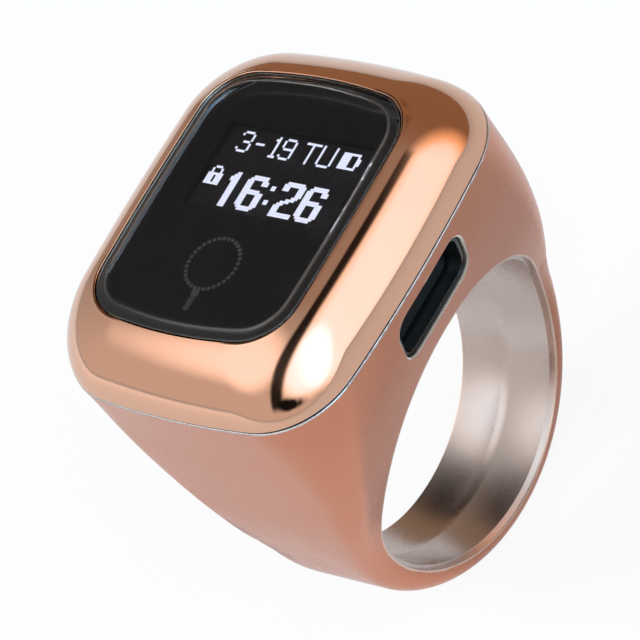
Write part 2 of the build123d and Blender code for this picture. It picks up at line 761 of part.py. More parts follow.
with BuildPart() as motor_saddle:
    with Locations((motor_x, motor_y, board_top)):
        Box(saddle_length, saddle_width, motor_z - saddle_drop - board_top,
            align=(Align.CENTER, Align.CENTER, Align.MIN))
    with BuildSketch(along_x(can_back, motor_y, motor_z)):
        Circle(can_radius)
    extrude(amount=can_length, mode=Mode.SUBTRACT)
save(motor_saddle, "motor_saddle")

# ---- Charging contacts ----------------------------------------------------------------------
contact_face = bore_radius + contact_recess

with BuildPart() as charge_pins:
    with BuildSketch(Plane.XY.offset(contact_face)):
        with GridLocations(contact_pitch, 0, 2, 1):
            Circle(contact_radius)
    extrude(amount=contact_head)
    with BuildSketch(Plane.XY.offset(contact_face + contact_head)):
        with GridLocations(contact_pitch, 0, 2, 1):
            Circle(contact_stem_radius)
    extrude(amount=board_bottom - contact_face - contact_head)
save(charge_pins, "charge_pins")

with BuildPart() as pin_sleeves:
    with BuildSketch(Plane.XY.offset(contact_face)):
        with GridLocations(contact_pitch, 0, 2, 1):
            Circle(sleeve_radius)
    extrude(amount=floor_height + sleeve_rise - contact_face)
    with BuildSketch(Plane.XY.offset(contact_face)):
        with GridLocations(contact_pitch, 0, 2, 1):
            Circle(contact_stem_radius)
    extrude(amount=2 * floor_wall, mode=Mode.SUBTRACT)
    with BuildSketch(Plane.XY.offset(contact_face)):
        with GridLocations(contact_pitch, 0, 2, 1):
            Circle(contact_radius)
    extrude(amount=contact_head, mode=Mode.SUBTRACT)
save(pin_sleeves, "pin_sleeves")
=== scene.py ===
"""Finish of the finger tasbih counter: smooth metal, bevelled glass, lit readout and studio."""

import math

import bpy
import bmesh
import numpy as np
from bpy.props import FloatProperty, FloatVectorProperty, IntProperty, PointerProperty
from mathutils import Matrix, Vector
from mathutils.bvhtree import BVHTree
from mathutils.kdtree import KDTree


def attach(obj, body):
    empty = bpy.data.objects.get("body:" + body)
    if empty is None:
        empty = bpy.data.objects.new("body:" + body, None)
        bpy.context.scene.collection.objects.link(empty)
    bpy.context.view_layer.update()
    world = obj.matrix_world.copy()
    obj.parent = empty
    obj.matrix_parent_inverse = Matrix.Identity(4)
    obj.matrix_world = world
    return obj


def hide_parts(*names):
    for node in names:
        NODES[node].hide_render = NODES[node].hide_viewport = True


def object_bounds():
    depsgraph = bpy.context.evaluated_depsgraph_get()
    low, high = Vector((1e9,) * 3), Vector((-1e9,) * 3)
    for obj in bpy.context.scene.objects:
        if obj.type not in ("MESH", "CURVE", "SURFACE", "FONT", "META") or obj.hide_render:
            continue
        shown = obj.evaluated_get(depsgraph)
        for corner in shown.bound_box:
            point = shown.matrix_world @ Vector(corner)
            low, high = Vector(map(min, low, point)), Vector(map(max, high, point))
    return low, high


bl_info = {
    "name": "Finger tasbih counter",
    "version": (1, 0, 0),
    "blender": (4, 5, 0),
    "location": "3D View > Sidebar > Tasbih",
    "description": "Finishes the packed finger tasbih counter and sets up its studio",
    "category": "Object",
}

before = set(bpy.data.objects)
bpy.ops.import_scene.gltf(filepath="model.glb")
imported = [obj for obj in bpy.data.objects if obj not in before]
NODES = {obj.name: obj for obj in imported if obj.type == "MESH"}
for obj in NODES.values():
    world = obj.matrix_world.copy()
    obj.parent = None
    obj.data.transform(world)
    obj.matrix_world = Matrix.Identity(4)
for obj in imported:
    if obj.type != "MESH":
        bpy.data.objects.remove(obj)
CAD_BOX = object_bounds()
MM = 0.001
SAME_LEVEL = 0.000005       # vertices this close in height lie on one level


# ---- Sizes and colours ----------------------------------------------------------------------
def length(name, description, default):
    """Length in metres, given in millimetres."""
    return FloatProperty(name=name, description=description, default=default * MM,
                         unit="LENGTH", precision=5)


def colour(name, description, default):
    """Linear RGB colour."""
    return FloatVectorProperty(name=name, description=description, default=default,
                               subtype="COLOR", size=3, min=0.0, max=1.0)


class TasbihBody(bpy.types.PropertyGroup):
    """Sizes of the ring body and the bezel."""

    bore_radius: length("Bore radius", "Radius of the finger bore", 10.0)
    liner_wall: length("Liner wall", "Thickness of the bore's liner", 0.3)
    hoop_radius: length("Hoop radius", "Outer radius of the hoop", 12.15)
    hoop_lift: length("Hoop lift", "Height of the hoop's centre above the bore's axis", 0.6)
    hoop_half_width: length("Hoop half width", "Half width where the hoop meets the head", 5.2)
    band_half_width: length("Band half width", "Half width at the bottom of the hoop", 3.9)
    hoop_spread: FloatProperty(name="Hoop spread", default=0.4, min=0.0,
                               description="How fast the band widens at the head")
    edge_round: length("Edge rounding", "Rounding of the band's outer edges", 1.3)
    head_half_x: length("Head half width", "Half width of the head at the seam", 11.6)
    head_half_y: length("Head half length", "Half length of the head at the seam", 13.5)
    seam_height: length("Seam height", "Height of the seam above the bore's axis", 16.9)
    bezel_rise: length("Bezel rise", "Height of the bezel's rim above the seam", 4.05)
    metal: colour("Rose gold", "Reflection colour of the plated metal", (0.58, 0.231, 0.138))
    steel: colour("Liner metal", "Reflection colour of the bore's liner", (0.56, 0.46, 0.425))


class TasbihDisplay(bpy.types.PropertyGroup):
    """Sizes and colours of the glass and the readout."""

    lens_half_x: length("Glass half width", "Half width of the glass", 8.15)
    lens_half_y: length("Glass half length", "Half length of the glass", 9.75)
    lens_top: length("Glass height", "Height of the glass above the bore's axis", 21.15)
    lens_thickness: length("Glass thickness", "Thickness of the glass", 1.4)
    pixel_pitch: length("Pixel pitch", "Distance between neighbouring pixels", 0.1747)
    pixel_fill: FloatProperty(name="Pixel fill", description="Lit share of a pixel's pitch",
                              default=0.94, min=0.1, max=1.0, subtype="FACTOR")
    readout_x: length("Readout centre X", "Centre of the lit area", 0.45)
    readout_y: length("Readout centre Y", "Centre of the lit area", 2.76)
    readout_z: length("Readout height", "Height of the lit layer", 19.49)
    lit: colour("Lit pixels", "Light of the readout", (0.66, 0.69, 0.86))
    glow: FloatProperty(name="Glow", description="Strength of the readout", default=1.25, min=0.0)
    bead_count: IntProperty(name="Beads", description="Beads in the printed string",
                            default=33, min=3)
    string_radius: length("String radius", "Radius of the printed string of beads", 1.9)
    bead_radius: length("Bead radius", "Radius of a printed bead", 0.145)
    strands: IntProperty(name="Strands", description="Strands of the printed tassel",
                         default=5, min=1)
    print_thickness: length("Print thickness", "Thickness of printed and lit marks", 0.01)
    motif_x: length("Motif centre X", "Centre of the printed string", -0.4)
    motif_y: length("Motif centre Y", "Centre of the printed string", -4.2)


class TasbihStage(bpy.types.PropertyGroup):
    """Camera and floor."""

    camera_x: length("Camera X", "Place of the camera", 259.03652)
    camera_y: length("Camera Y", "Place of the camera", -141.45388)
    camera_z: length("Camera Z", "Place of the camera", 278.62898)
    lens: FloatProperty(name="Lens", description="Focal length in millimetres",
                        default=360.81, min=1.0)
    floor: colour("Floor", "Colour of the floor", (0.86, 0.86, 0.86))


# ---- Meshes ---------------------------------------------------------------------------------
def arc_between(centre, radius, start, end, count):
    """Points on a circle from one angle to another, without the last."""
    steps = np.linspace(start, end, count, endpoint=False)
    return np.stack([centre[0] + radius * np.cos(steps), centre[1] + radius * np.sin(steps)], 1)


def pillow(half_x, half_y, corner, crown_x, crown_y):
    """Rounded rectangle with gently bulging sides, as points that always match in number."""
    end_x, end_y = half_x - crown_x, half_y - crown_y
    radius_x = (end_y ** 2 + crown_x ** 2) / (2 * crown_x)
    radius_y = (end_x ** 2 + crown_y ** 2) / (2 * crown_y)
    centre_x, centre_y = np.array([half_x - radius_x, 0.0]), np.array([0.0, half_y - radius_y])
    reach_x, reach_y = radius_x - corner, radius_y - corner
    between = centre_y - centre_x
    distance = np.linalg.norm(between)
    along = (reach_x ** 2 - reach_y ** 2 + distance ** 2) / (2 * distance)
    across = math.sqrt(max(reach_x ** 2 - along ** 2, 0.0))
    unit = between / distance
    middle = centre_x + unit * along + np.array([-unit[1], unit[0]]) * across
    first = math.atan2(middle[1] - centre_x[1], middle[0] - centre_x[0])
    second = math.atan2(middle[1] - centre_y[1], middle[0] - centre_y[0])
    side = centre_x + radius_x * np.stack([np.cos(first * SIDE_SHARES),
                                           np.sin(first * SIDE_SHARES)], 1)
    turn = arc_between(middle, corner, first, second, 16)
    end = arc_between(centre_y, radius_y, second, math.pi / 2, 12)
    quarter = np.concatenate([side, turn, end, [[0.0, half_y]]])
    left = quarter[-2::-1] * [-1, 1]
    upper = np.concatenate([quarter, left])
    return np.concatenate([upper, upper[-2:0:-1] * [1, -1]])


SIDE_SHARES = np.concatenate([np.linspace(0, 0.83, 12, endpoint=False),
                              np.linspace(0.83, 1, 4, endpoint=False)])


def smooth_curve(places, values, at):
    """Natural cubic through values at increasing places."""
    places, values = np.array(places, float), np.array(values, float)
    count = len(places)
    gaps = np.diff(places)
    matrix, right = np.zeros((count, count)), np.zeros((count,) + values.shape[1:])
    matrix[0, 0] = matrix[-1, -1] = 1
    for i in range(1, count - 1):
        matrix[i, i - 1:i + 2] = gaps[i - 1], 2 * (gaps[i - 1] + gaps[i]), gaps[i]
        right[i] = 3 * ((values[i + 1] - values[i]) / gaps[i]
                        - (values[i] - values[i - 1]) / gaps[i - 1])
    bend = np.linalg.solve(matrix, right)
    i = int(np.clip(np.searchsorted(places, at) - 1, 0, count - 2))
    rise = ((values[i + 1] - values[i]) / gaps[i] - gaps[i] * (2 * bend[i] + bend[i + 1]) / 3)
    step = at - places[i]
    return (values[i] + rise * step + bend[i] * step ** 2
            + (bend[i + 1] - bend[i]) / (3 * gaps[i]) * step ** 3)


def mesh_object(name, points, faces):
    """New mesh object with smooth faces that point outwards."""
    mesh = bpy.data.meshes.new(name)
    mesh.from_pydata([tuple(p) for p in points], [], faces)
    work = bmesh.new()
    work.from_mesh(mesh)
    bmesh.ops.remove_doubles(work, verts=work.verts, dist=1e-7)
    bmesh.ops.recalc_face_normals(work, faces=work.faces)
    work.to_mesh(mesh)
    work.free()
    mesh.polygons.foreach_set("use_smooth", np.ones(len(mesh.polygons), bool))
    piece = bpy.data.objects.new(name, mesh)
    bpy.context.scene.collection.objects.link(piece)
    return piece


def stacked(name, rings, close=True, loop=False):
    """Skin over a stack of matching outlines, each a list of 3-D points."""
    count = len(rings[0])
    points = [p for ring in rings for p in ring]
    faces = []
    for low in range(len(rings) if loop else len(rings) - 1):
        high = (low + 1) % len(rings)
        for i in range(count):
            j = (i + 1) % count
            faces.append((low * count + i, low * count + j, high * count + j, high * count + i))
    if close:
        faces.append(tuple(range(count)))
        faces.append(tuple((len(rings) - 1) * count + i for i in range(count)))
    return mesh_object(name, points, faces)


def level(outline, height):
    """Outline raised to a height."""
    return np.column_stack([outline, np.full(len(outline), height)])


def skin_reader(skin, bends):
    """Function that gives a skin's smooth normal at a place near it, or None."""
    surface = skin.data
    points = np.empty(len(surface.vertices) * 3, np.float32)
    surface.vertices.foreach_get("co", points)
    points = points.reshape(-1, 3)
    surface.calc_loop_triangles()
    corners = np.empty(len(surface.loop_triangles) * 3, np.int32)
    surface.loop_triangles.foreach_get("vertices", corners)
    corners = corners.reshape(-1, 3)
    if bends is None:
        bends = np.empty(len(surface.vertices) * 3, np.float32)
        surface.vertex_normals.foreach_get("vector", bends)
        bends = bends.reshape(-1, 3)
    tree = BVHTree.FromPolygons([tuple(p) for p in points.tolist()], corners.tolist())

    def normal_at(place, reach):
        nearest, _, index, _ = tree.find_nearest(place, reach)
        if nearest is None:
            return None
        a, b, c = corners[index]
        weights = barycentric(nearest, points[a], points[b], points[c])
        normal = bends[a] * weights[0] + bends[b] * weights[1] + bends[c] * weights[2]
        return Vector(normal).normalized()

    return normal_at


def divided(work, normal_at, reach, finest, lift):
    """Splits long edges of the skin's faces, each new point lifted by a rule for its edge."""
    for _ in range(6):
        bends = {}
        for vertex in work.verts:
            normal = normal_at(vertex.co, reach)
            if normal is not None and any(f.normal.dot(normal) < 0.8 for f in vertex.link_faces):
                normal = None
            bends[vertex] = normal
        long = [edge for edge in work.edges if edge.calc_length() > finest
                and bends[edge.verts[0]] is not None and bends[edge.verts[1]] is not None]
        if not long:
            break
        middles = KDTree(len(long))
        lifts = []
        for edge in long:
            first, second = edge.verts
            middles.insert((first.co + second.co) / 2, len(lifts))
            lifts.append(lift(first.co, second.co, bends[first], bends[second]))
        middles.balance()
        made = bmesh.ops.subdivide_edges(work, edges=long, cuts=1)
        for item in made["geom_inner"]:
            if isinstance(item, bmesh.types.BMVert):
                _, index, gap = middles.find(item.co)
                if gap < 1e-7:
                    item.co += lifts[index]
        bmesh.ops.triangulate(work, faces=[f for f in work.faces if len(f.verts) > 3])
        work.normal_update()


LEDGE_WIDTH = 0.00005


def without_ledge(work, height, width):
    """Closes a ledge that is narrower than a width, at a height, by merging its two edges."""
    row = [vertex for vertex in work.verts if abs(vertex.co.z - height) < SAME_LEVEL]
    edges = [edge for edge in work.edges
             if all(abs(vertex.co.z - height) < SAME_LEVEL for vertex in edge.verts)]
    bmesh.ops.remove_doubles(work, verts=row, dist=width)
    edges = [edge for edge in edges if edge.is_valid]
    bmesh.ops.dissolve_degenerate(work, edges=edges, dist=width)
    bmesh.ops.triangulate(work, faces=[f for f in work.faces if len(f.verts) > 3])


def dressed_copy(node, name, skin, reach, crease=30.0, agree=0.9, bends=None, finest=None,
                 lift=None, shift=None, ledge=None):
    """Copy of a CAD node whose normals follow a smooth skin wherever it lies on that skin."""
    mesh = NODES[node].data.copy()
    mesh.name = name
    normal_at = None if skin is None else skin_reader(skin, bends)
    work = bmesh.new()
    work.from_mesh(mesh)
    bmesh.ops.remove_doubles(work, verts=work.verts, dist=1e-7)
    low = [min(vertex.co[axis] for vertex in work.verts) for axis in range(3)]
    high = [max(vertex.co[axis] for vertex in work.verts) for axis in range(3)]
    if ledge is not None:
        without_ledge(work, ledge, LEDGE_WIDTH)
    if finest is not None:
        work.normal_update()
        divided(work, normal_at, reach, finest, lift)
    if shift is not None:
        for vertex in work.verts:
            vertex.co += shift(vertex.co)
    for vertex in work.verts:
        vertex.co = [min(max(vertex.co[axis], low[axis]), high[axis]) for axis in range(3)]
    work.to_mesh(mesh)
    work.free()
    if "custom_normal" in mesh.attributes:
        mesh.attributes.remove(mesh.attributes["custom_normal"])
    mesh.polygons.foreach_set("use_smooth", np.ones(len(mesh.polygons), bool))
    mesh.set_sharp_from_angle(angle=math.radians(crease))
    piece = bpy.data.objects.new(name, mesh)
    bpy.context.scene.collection.objects.link(piece)
    if skin is None:
        return piece
    found = {}
    normals = [Vector(n.vector) for n in mesh.corner_normals]
    for polygon in mesh.polygons:
        least = agree
        if ledge is not None and all(abs(mesh.vertices[i].co.z - ledge) < SAME_LEVEL
                                     for i in polygon.vertices):
            least = -1.0
        for loop in polygon.loop_indices:
            vertex = mesh.loops[loop].vertex_index
            if vertex not in found:
                found[vertex] = normal_at(mesh.vertices[vertex].co, reach)
            if found[vertex] is not None and found[vertex].dot(polygon.normal) > least:
                normals[loop] = found[vertex]
    mesh.normals_split_custom_set(normals)
    bpy.data.objects.remove(skin)
    return piece


def barycentric(point, a, b, c):
    """Weights of a triangle's corners at a point on it."""
    point = np.array(point)
    first, second, third = b - a, c - a, point - a
    d00, d01, d11 = first @ first, first @ second, second @ second
    d20, d21 = third @ first, third @ second
    below = d00 * d11 - d01 * d01
    if abs(below) < 1e-30:
        return 1.0, 0.0, 0.0
    v = (d11 * d20 - d01 * d21) / below
    w = (d00 * d21 - d01 * d20) / below
    return 1 - v - w, v, w


def place_piece(piece, body, finish, slot_name, *replaced):
    """Gives a piece its finish, its body and the CAD nodes it stands for."""
    piece.data.materials.clear()
    piece.data.materials.append(finish)
    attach(piece, body)
    if replaced:
        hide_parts(*replaced)


# ---- Materials ------------------------------------------------------------------------------
def socket(group, name, kind, default=None, inside=True):
    """Adds a named input or output to a node group."""
    item = group.interface.new_socket(name=name, in_out="INPUT" if inside else "OUTPUT",
                                      socket_type=kind)
    if default is not None:
        item.default_value = default
    return item


def link(tree, source, target):
    tree.links.new(source, target)


def noise(tree, scale, detail, vector, roughness=0.55):
    """Noise texture on a vector."""
    node = tree.nodes.new("ShaderNodeTexNoise")
    node.inputs["Scale"].default_value = scale
    node.inputs["Detail"].default_value = detail
    node.inputs["Roughness"].default_value = roughness
    link(tree, vector, node.inputs["Vector"])
    return node


def spread(tree, value, low, high, start=0.0, end=1.0):
    """Maps a value range to another."""
    node = tree.nodes.new("ShaderNodeMapRange")
    for name, number in (("From Min", start), ("From Max", end), ("To Min", low), ("To Max", high)):
        node.inputs[name].default_value = number
    link(tree, value, node.inputs["Value"])
    return node.outputs["Result"]


def finish_group():
    """Group for handled surfaces: colour drift, uneven polish and fine grain."""
    group = bpy.data.node_groups.new("Handled surface", "ShaderNodeTree")
    socket(group, "Vector", "NodeSocketVector")
    socket(group, "Color", "NodeSocketColor", (0.8, 0.8, 0.8, 1))
    socket(group, "Worn Color", "NodeSocketColor", (0.9, 0.9, 0.9, 1))
    socket(group, "Drift Scale", "NodeSocketFloat", 150.0)
    socket(group, "Drift", "NodeSocketFloat", 0.3)
    socket(group, "Roughness", "NodeSocketFloat", 0.2)
    socket(group, "Smudge", "NodeSocketFloat", 0.05)
    socket(group, "Grain Scale", "NodeSocketFloat", 9000.0)
    socket(group, "Color", "NodeSocketColor", inside=False)
    socket(group, "Roughness", "NodeSocketFloat", inside=False)
    socket(group, "Height", "NodeSocketFloat", inside=False)
    inside, outside = group.nodes.new("NodeGroupInput"), group.nodes.new("NodeGroupOutput")
    drift = noise(group, 1.0, 3.0, inside.outputs["Vector"])
    link(group, inside.outputs["Drift Scale"], drift.inputs["Scale"])
    amount = group.nodes.new("ShaderNodeMath")
    amount.operation = "MULTIPLY"
    link(group, spread(group, drift.outputs["Fac"], 0.0, 1.0, 0.35, 0.7), amount.inputs[0])
    link(group, inside.outputs["Drift"], amount.inputs[1])
    tint = group.nodes.new("ShaderNodeMix")
    tint.data_type = "RGBA"
    link(group, amount.outputs[0], tint.inputs[0])
    link(group, inside.outputs["Color"], tint.inputs[6])
    link(group, inside.outputs["Worn Color"], tint.inputs[7])
    link(group, tint.outputs[2], outside.inputs["Color"])
    smudge = noise(group, 420.0, 4.0, inside.outputs["Vector"], 0.6)
    uneven = group.nodes.new("ShaderNodeMath")
    uneven.operation = "MULTIPLY_ADD"
    link(group, spread(group, smudge.outputs["Fac"], 0.0, 1.0, 0.4, 0.75), uneven.inputs[0])
    link(group, inside.outputs["Smudge"], uneven.inputs[1])
    link(group, inside.outputs["Roughness"], uneven.inputs[2])
    link(group, uneven.outputs[0], outside.inputs["Roughness"])
    grain = noise(group, 1.0, 2.0, inside.outputs["Vector"])
    link(group, inside.outputs["Grain Scale"], grain.inputs["Scale"])
    link(group, grain.outputs["Fac"], outside.inputs["Height"])
    return group


def handled(name, group, color, worn, metallic, roughness, smudge=0.04, drift=0.3,
            drift_scale=150.0, grain=9000.0, bump=0.02, stretch=(1, 1, 1), **plain):
    """Material with the handled-surface group; plain holds values set on the shader itself."""
    material = bpy.data.materials.new(name)
    material.use_nodes = True
    tree = material.node_tree
    shader = tree.nodes["Principled BSDF"]
    place = tree.nodes.new("ShaderNodeTexCoord")
    turn = tree.nodes.new("ShaderNodeMapping")
    turn.inputs["Scale"].default_value = stretch
    link(tree, place.outputs["Object"], turn.inputs["Vector"])
    effect = tree.nodes.new("ShaderNodeGroup")
    effect.node_tree = group
    link(tree, turn.outputs["Vector"], effect.inputs["Vector"])
    effect.inputs["Color"].default_value = (*color, 1)
    effect.inputs["Worn Color"].default_value = (*worn, 1)
    effect.inputs["Drift"].default_value = drift
    effect.inputs["Drift Scale"].default_value = drift_scale
    effect.inputs["Roughness"].default_value = roughness
    effect.inputs["Smudge"].default_value = smudge
    effect.inputs["Grain Scale"].default_value = grain
    link(tree, effect.outputs["Color"], shader.inputs["Base Color"])
    link(tree, effect.outputs["Roughness"], shader.inputs["Roughness"])
    if bump:
        height = tree.nodes.new("ShaderNodeBump")
        height.inputs["Strength"].default_value = bump
        height.inputs["Distance"].default_value = 0.00003
        link(tree, effect.outputs["Height"], height.inputs["Height"])
        link(tree, height.outputs["Normal"], shader.inputs["Normal"])
    shader.inputs["Metallic"].default_value = metallic
    for socket_name, value in plain.items():
        title = socket_name.replace("_", " ").title().replace("Ior", "IOR")
        shader.inputs[title].default_value = value
    return material


def from_bore(tree, x, y, z):
    """Distance from the bore's axis."""
    squares = [combined(tree, "MULTIPLY", value, value) for value in (y, z)]
    return combined(tree, "SQRT", combined(tree, "ADD", *squares), 0.0)


def from_slot(tree, x, y, z):
    """Distance from the rim of the button's slot in the +X side, and large on the -X side."""
    squares = []
    for value, centre, half in ((y, SLOT[0], SLOT[2]), (z, SLOT[1], SLOT[3])):
        off = combined(tree, "ABSOLUTE", combined(tree, "SUBTRACT", value, centre), 0.0)
        past = combined(tree, "MAXIMUM", combined(tree, "SUBTRACT", off, half - SLOT[4]), 0.0)
        squares.append(combined(tree, "MULTIPLY", past, past))
    reach = combined(tree, "SQRT", combined(tree, "ADD", *squares), 0.0)
    return combined(tree, "ADD", combined(tree, "SUBTRACT", reach, SLOT[4]),
                    combined(tree, "LESS_THAN", x, 0.005))


# Centre along Y and Z, half length, half height and corner of the button's slot.
SLOT = (0.00013, 0.0139, 0.003875, 0.0019, 0.0012)


# Colour of the painted highlights along the edges at the seam.
EDGE_HIGHLIGHT = (0.66, 0.60, 0.58)


def painted_edge_highlight(material, low, high, color, measure=None):
    """Painted highlight along an edge: a lighter colour between two heights or distances."""
    group = bpy.data.node_groups.get("Painted edge highlight") or edge_highlight_group()
    tree = material.node_tree
    effect = tree.nodes.new("ShaderNodeGroup")
    effect.node_tree = group
    place = tree.nodes.new("ShaderNodeTexCoord")
    base = tree.nodes["Principled BSDF"].inputs["Base Color"]
    plating = base.links[0].from_socket
    source = place.outputs["Object"]
    if measure:
        split = tree.nodes.new("ShaderNodeSeparateXYZ")
        joined = tree.nodes.new("ShaderNodeCombineXYZ")
        link(tree, source, split.inputs[0])
        link(tree, split.outputs[0], joined.inputs[0])
        link(tree, split.outputs[1], joined.inputs[1])
        link(tree, measure(tree, *split.outputs), joined.inputs[2])
        source = joined.outputs[0]
    link(tree, source, effect.inputs["Vector"])
    link(tree, plating, effect.inputs["Color"])
    effect.inputs["Highlight Color"].default_value = (*color, 1)
    effect.inputs["Low"].default_value = low
    effect.inputs["High"].default_value = high
    link(tree, effect.outputs["Color"], base)
    return material


def edge_highlight_group():
    """Group that paints a highlight colour between two heights, with an uneven border."""
    group = bpy.data.node_groups.new("Painted edge highlight", "ShaderNodeTree")
    socket(group, "Vector", "NodeSocketVector")
    socket(group, "Color", "NodeSocketColor", (0.8, 0.8, 0.8, 1))
    socket(group, "Highlight Color", "NodeSocketColor", (0.9, 0.9, 0.9, 1))
    socket(group, "Low", "NodeSocketFloat", 0.0)
    socket(group, "High", "NodeSocketFloat", 1.0)
    socket(group, "Color", "NodeSocketColor", inside=False)
    inside, outside = group.nodes.new("NodeGroupInput"), group.nodes.new("NodeGroupOutput")
    split = group.nodes.new("ShaderNodeSeparateXYZ")
    link(group, inside.outputs["Vector"], split.inputs[0])
    ragged = noise(group, 900.0, 3.0, inside.outputs["Vector"])
    height = combined(group, "ADD", split.outputs[2],
                      spread(group, ragged.outputs["Fac"], -0.00003, 0.00003, 0.3, 0.7))
    above = combined(group, "GREATER_THAN", height, inside.outputs["Low"])
    below = combined(group, "LESS_THAN", height, inside.outputs["High"])
    tint = group.nodes.new("ShaderNodeMix")
    tint.data_type = "RGBA"
    link(group, combined(group, "MULTIPLY", above, below), tint.inputs[0])
    link(group, inside.outputs["Color"], tint.inputs[6])
    link(group, inside.outputs["Highlight Color"], tint.inputs[7])
    link(group, tint.outputs[2], outside.inputs["Color"])
    return group


def plain(name, color, roughness, metallic=0.0, **more):
    """Material for a small inner part: handled surface with little drift."""
    worn = tuple(min(1.0, c * 1.25 + 0.01) for c in color)
    return handled(name, surface_group(), color, worn, metallic, roughness, drift=0.25,
                   drift_scale=900.0, bump=0.05, **more)


def surface_group():
    """The handled-surface group, built once."""
    return bpy.data.node_groups.get("Handled surface") or finish_group()


# ---- Skins that give the metal its smooth normals -------------------------------------------
BODY_HEIGHTS = (0.6, 3.0, 6.5, 10.0, 13.4, 16.84)
BODY_OUTLINES = (
    (5.2, 12.15, 1.3, 0.04, 0.04),
    (6.32, 12.7, 1.5, 0.06, 0.15),
    (8.02, 12.95, 2.1, 0.12, 0.35),
    (9.52, 13.1, 2.9, 0.3, 0.55),
    (10.79, 13.25, 4.2, 0.6, 0.75),
    (11.6, 13.5, 5.6, 0.8, 0.9),
)


# Height and half length where the head's ends run into the hoop, from the hoop upwards.
FAIR_SIDES = ((-2.6, 11.727), (0.6, 12.33), (3.0, 12.71), (6.5, 12.95))


def fair_side(height):
    """Half length of the fair curve from the hoop into the head's end, or 0 outside it."""
    places, values = zip(*FAIR_SIDES)
    if not places[0] < height < places[-1]:
        return 0.0
    return float(smooth_curve(places, np.array(values)[:, None], height)[0])


# The head's ends are near enough straight from the hoop up to this height.
FLAT_BELOW = 0.0042


def ring_lift(shape):
    """Function that lifts the middle of an edge of the ring body onto the curved surface."""
    height = shape.hoop_lift

    def lift(first, second, first_bend, second_bend):
        middle = (first + second) / 2
        if max(first.z, second.z) < height + 0.00001:
            spoke = Vector((0, middle.y, middle.z - height))
            wanted = (math.hypot(first.y, first.z - height)
                      + math.hypot(second.y, second.z - height)) / 2
            return spoke.normalized() * (wanted - spoke.length)
        if middle.z < FLAT_BELOW:
            return Vector((0, 0, 0))
        return (first_bend * (first - middle).dot(first_bend)
                + second_bend * (second - middle).dot(second_bend)) / 4

    return lift


# Distances from the middle plane where the shift begins and where it is whole, in millimetres.
FAIR_START, FAIR_FULL = 10.5, 11.7


def fairing(shape):
    """Function that gives the shift which fairs the head's ends into the hoop."""
    lift, radius = shape.hoop_lift / MM, shape.hoop_radius / MM

    def shift(place):
        height, out = place.z / MM, abs(place.y) / MM
        wanted = fair_side(height)
        share = min(max((out - FAIR_START) / (FAIR_FULL - FAIR_START), 0.0), 1.0)
        if not wanted or not share:
            return Vector((0, 0, 0))
        if height > lift:
            side = smooth_curve(BODY_HEIGHTS, BODY_OUTLINES, height)[1]
        else:
            side = math.sqrt(radius ** 2 - (height - lift) ** 2)
        move = (wanted - side) * share ** 2 * (3 - 2 * share) * MM
        return Vector((0, math.copysign(max(move, 0.0), place.y), 0))

    return shift


def band_half_width(shape, height):
    """Half width of the hoop at a height, in millimetres."""
    top, bottom = shape.hoop_lift / MM, (shape.hoop_lift - shape.hoop_radius) / MM
    wide, narrow = shape.hoop_half_width / MM, shape.band_half_width / MM
    pull = math.hypot(wide - narrow, top - bottom)
    u = np.linspace(0, 1, 200)
    begin, leave = 2 * u ** 3 - 3 * u ** 2 + 1, (u ** 3 - 2 * u ** 2 + u) * pull
    arrive, end = (u ** 3 - u ** 2) * pull, 3 * u ** 2 - 2 * u ** 3
    run = math.hypot(shape.hoop_spread, 1)
    half = begin * wide - leave * shape.hoop_spread / run + end * narrow
    level_at = begin * top - leave / run - arrive + end * bottom
    return float(np.interp(height, level_at[::-1], half[::-1]))


def body_skin(shape):
    """Outer skin of the ring body: level outlines for the head, swept outlines for the hoop."""
    heights = np.linspace(BODY_HEIGHTS[0], BODY_HEIGHTS[-1], 60)
    rings = []
    for height in heights:
        half_x, half_y, *corner = smooth_curve(BODY_HEIGHTS, BODY_OUTLINES, height)
        rings.append(level(pillow(half_x, max(half_y, fair_side(height)), *corner), height))
    foot = pillow(BODY_OUTLINES[0][0], fair_side(heights[0]), *BODY_OUTLINES[0][2:])
    quarter = len(foot) // 4
    profile = foot[12:2 * quarter - 11]
    wide, rounding = shape.hoop_half_width / MM, shape.edge_round / MM
    lift = shape.hoop_lift / MM
    sweep = []
    for angle in np.linspace(0, -math.pi, 90):
        ring = []
        flare = fair_side(lift + shape.hoop_radius / MM * math.sin(angle)) - abs(
            shape.hoop_radius / MM * math.cos(angle))
        for x, out in profile:
            out += max(flare, 0.0) - FAIR_SIDES[1][1] + shape.hoop_radius / MM
            y, z = out * math.cos(angle), lift + out * math.sin(angle)
            half = band_half_width(shape, z)
            if abs(x) > wide - rounding:
                x = math.copysign(abs(x) - wide + half, x)
            else:
                x = x * (half - rounding) / (wide - rounding)
            ring.append((x, y, z))
        sweep.append(ring)
    points, faces = [p for ring in rings for p in ring], []
    count = len(foot)
    for low in range(len(rings) - 1):
        for i in range(count):
            j = (i + 1) % count
            faces.append((low * count + i, low * count + j,
                          (low + 1) * count + j, (low + 1) * count + i))
    start, width = len(points), len(profile)
    points += [p for ring in sweep for p in ring]
    for low in range(len(sweep) - 1):
        for i in range(width - 1):
            a = start + low * width + i
            faces.append((a, a + width, a + width + 1, a + 1))
    skin = mesh_object("body_skin", np.array(points) * MM, faces)
    return outwards(skin, Vector((0, 0, 0.004)))


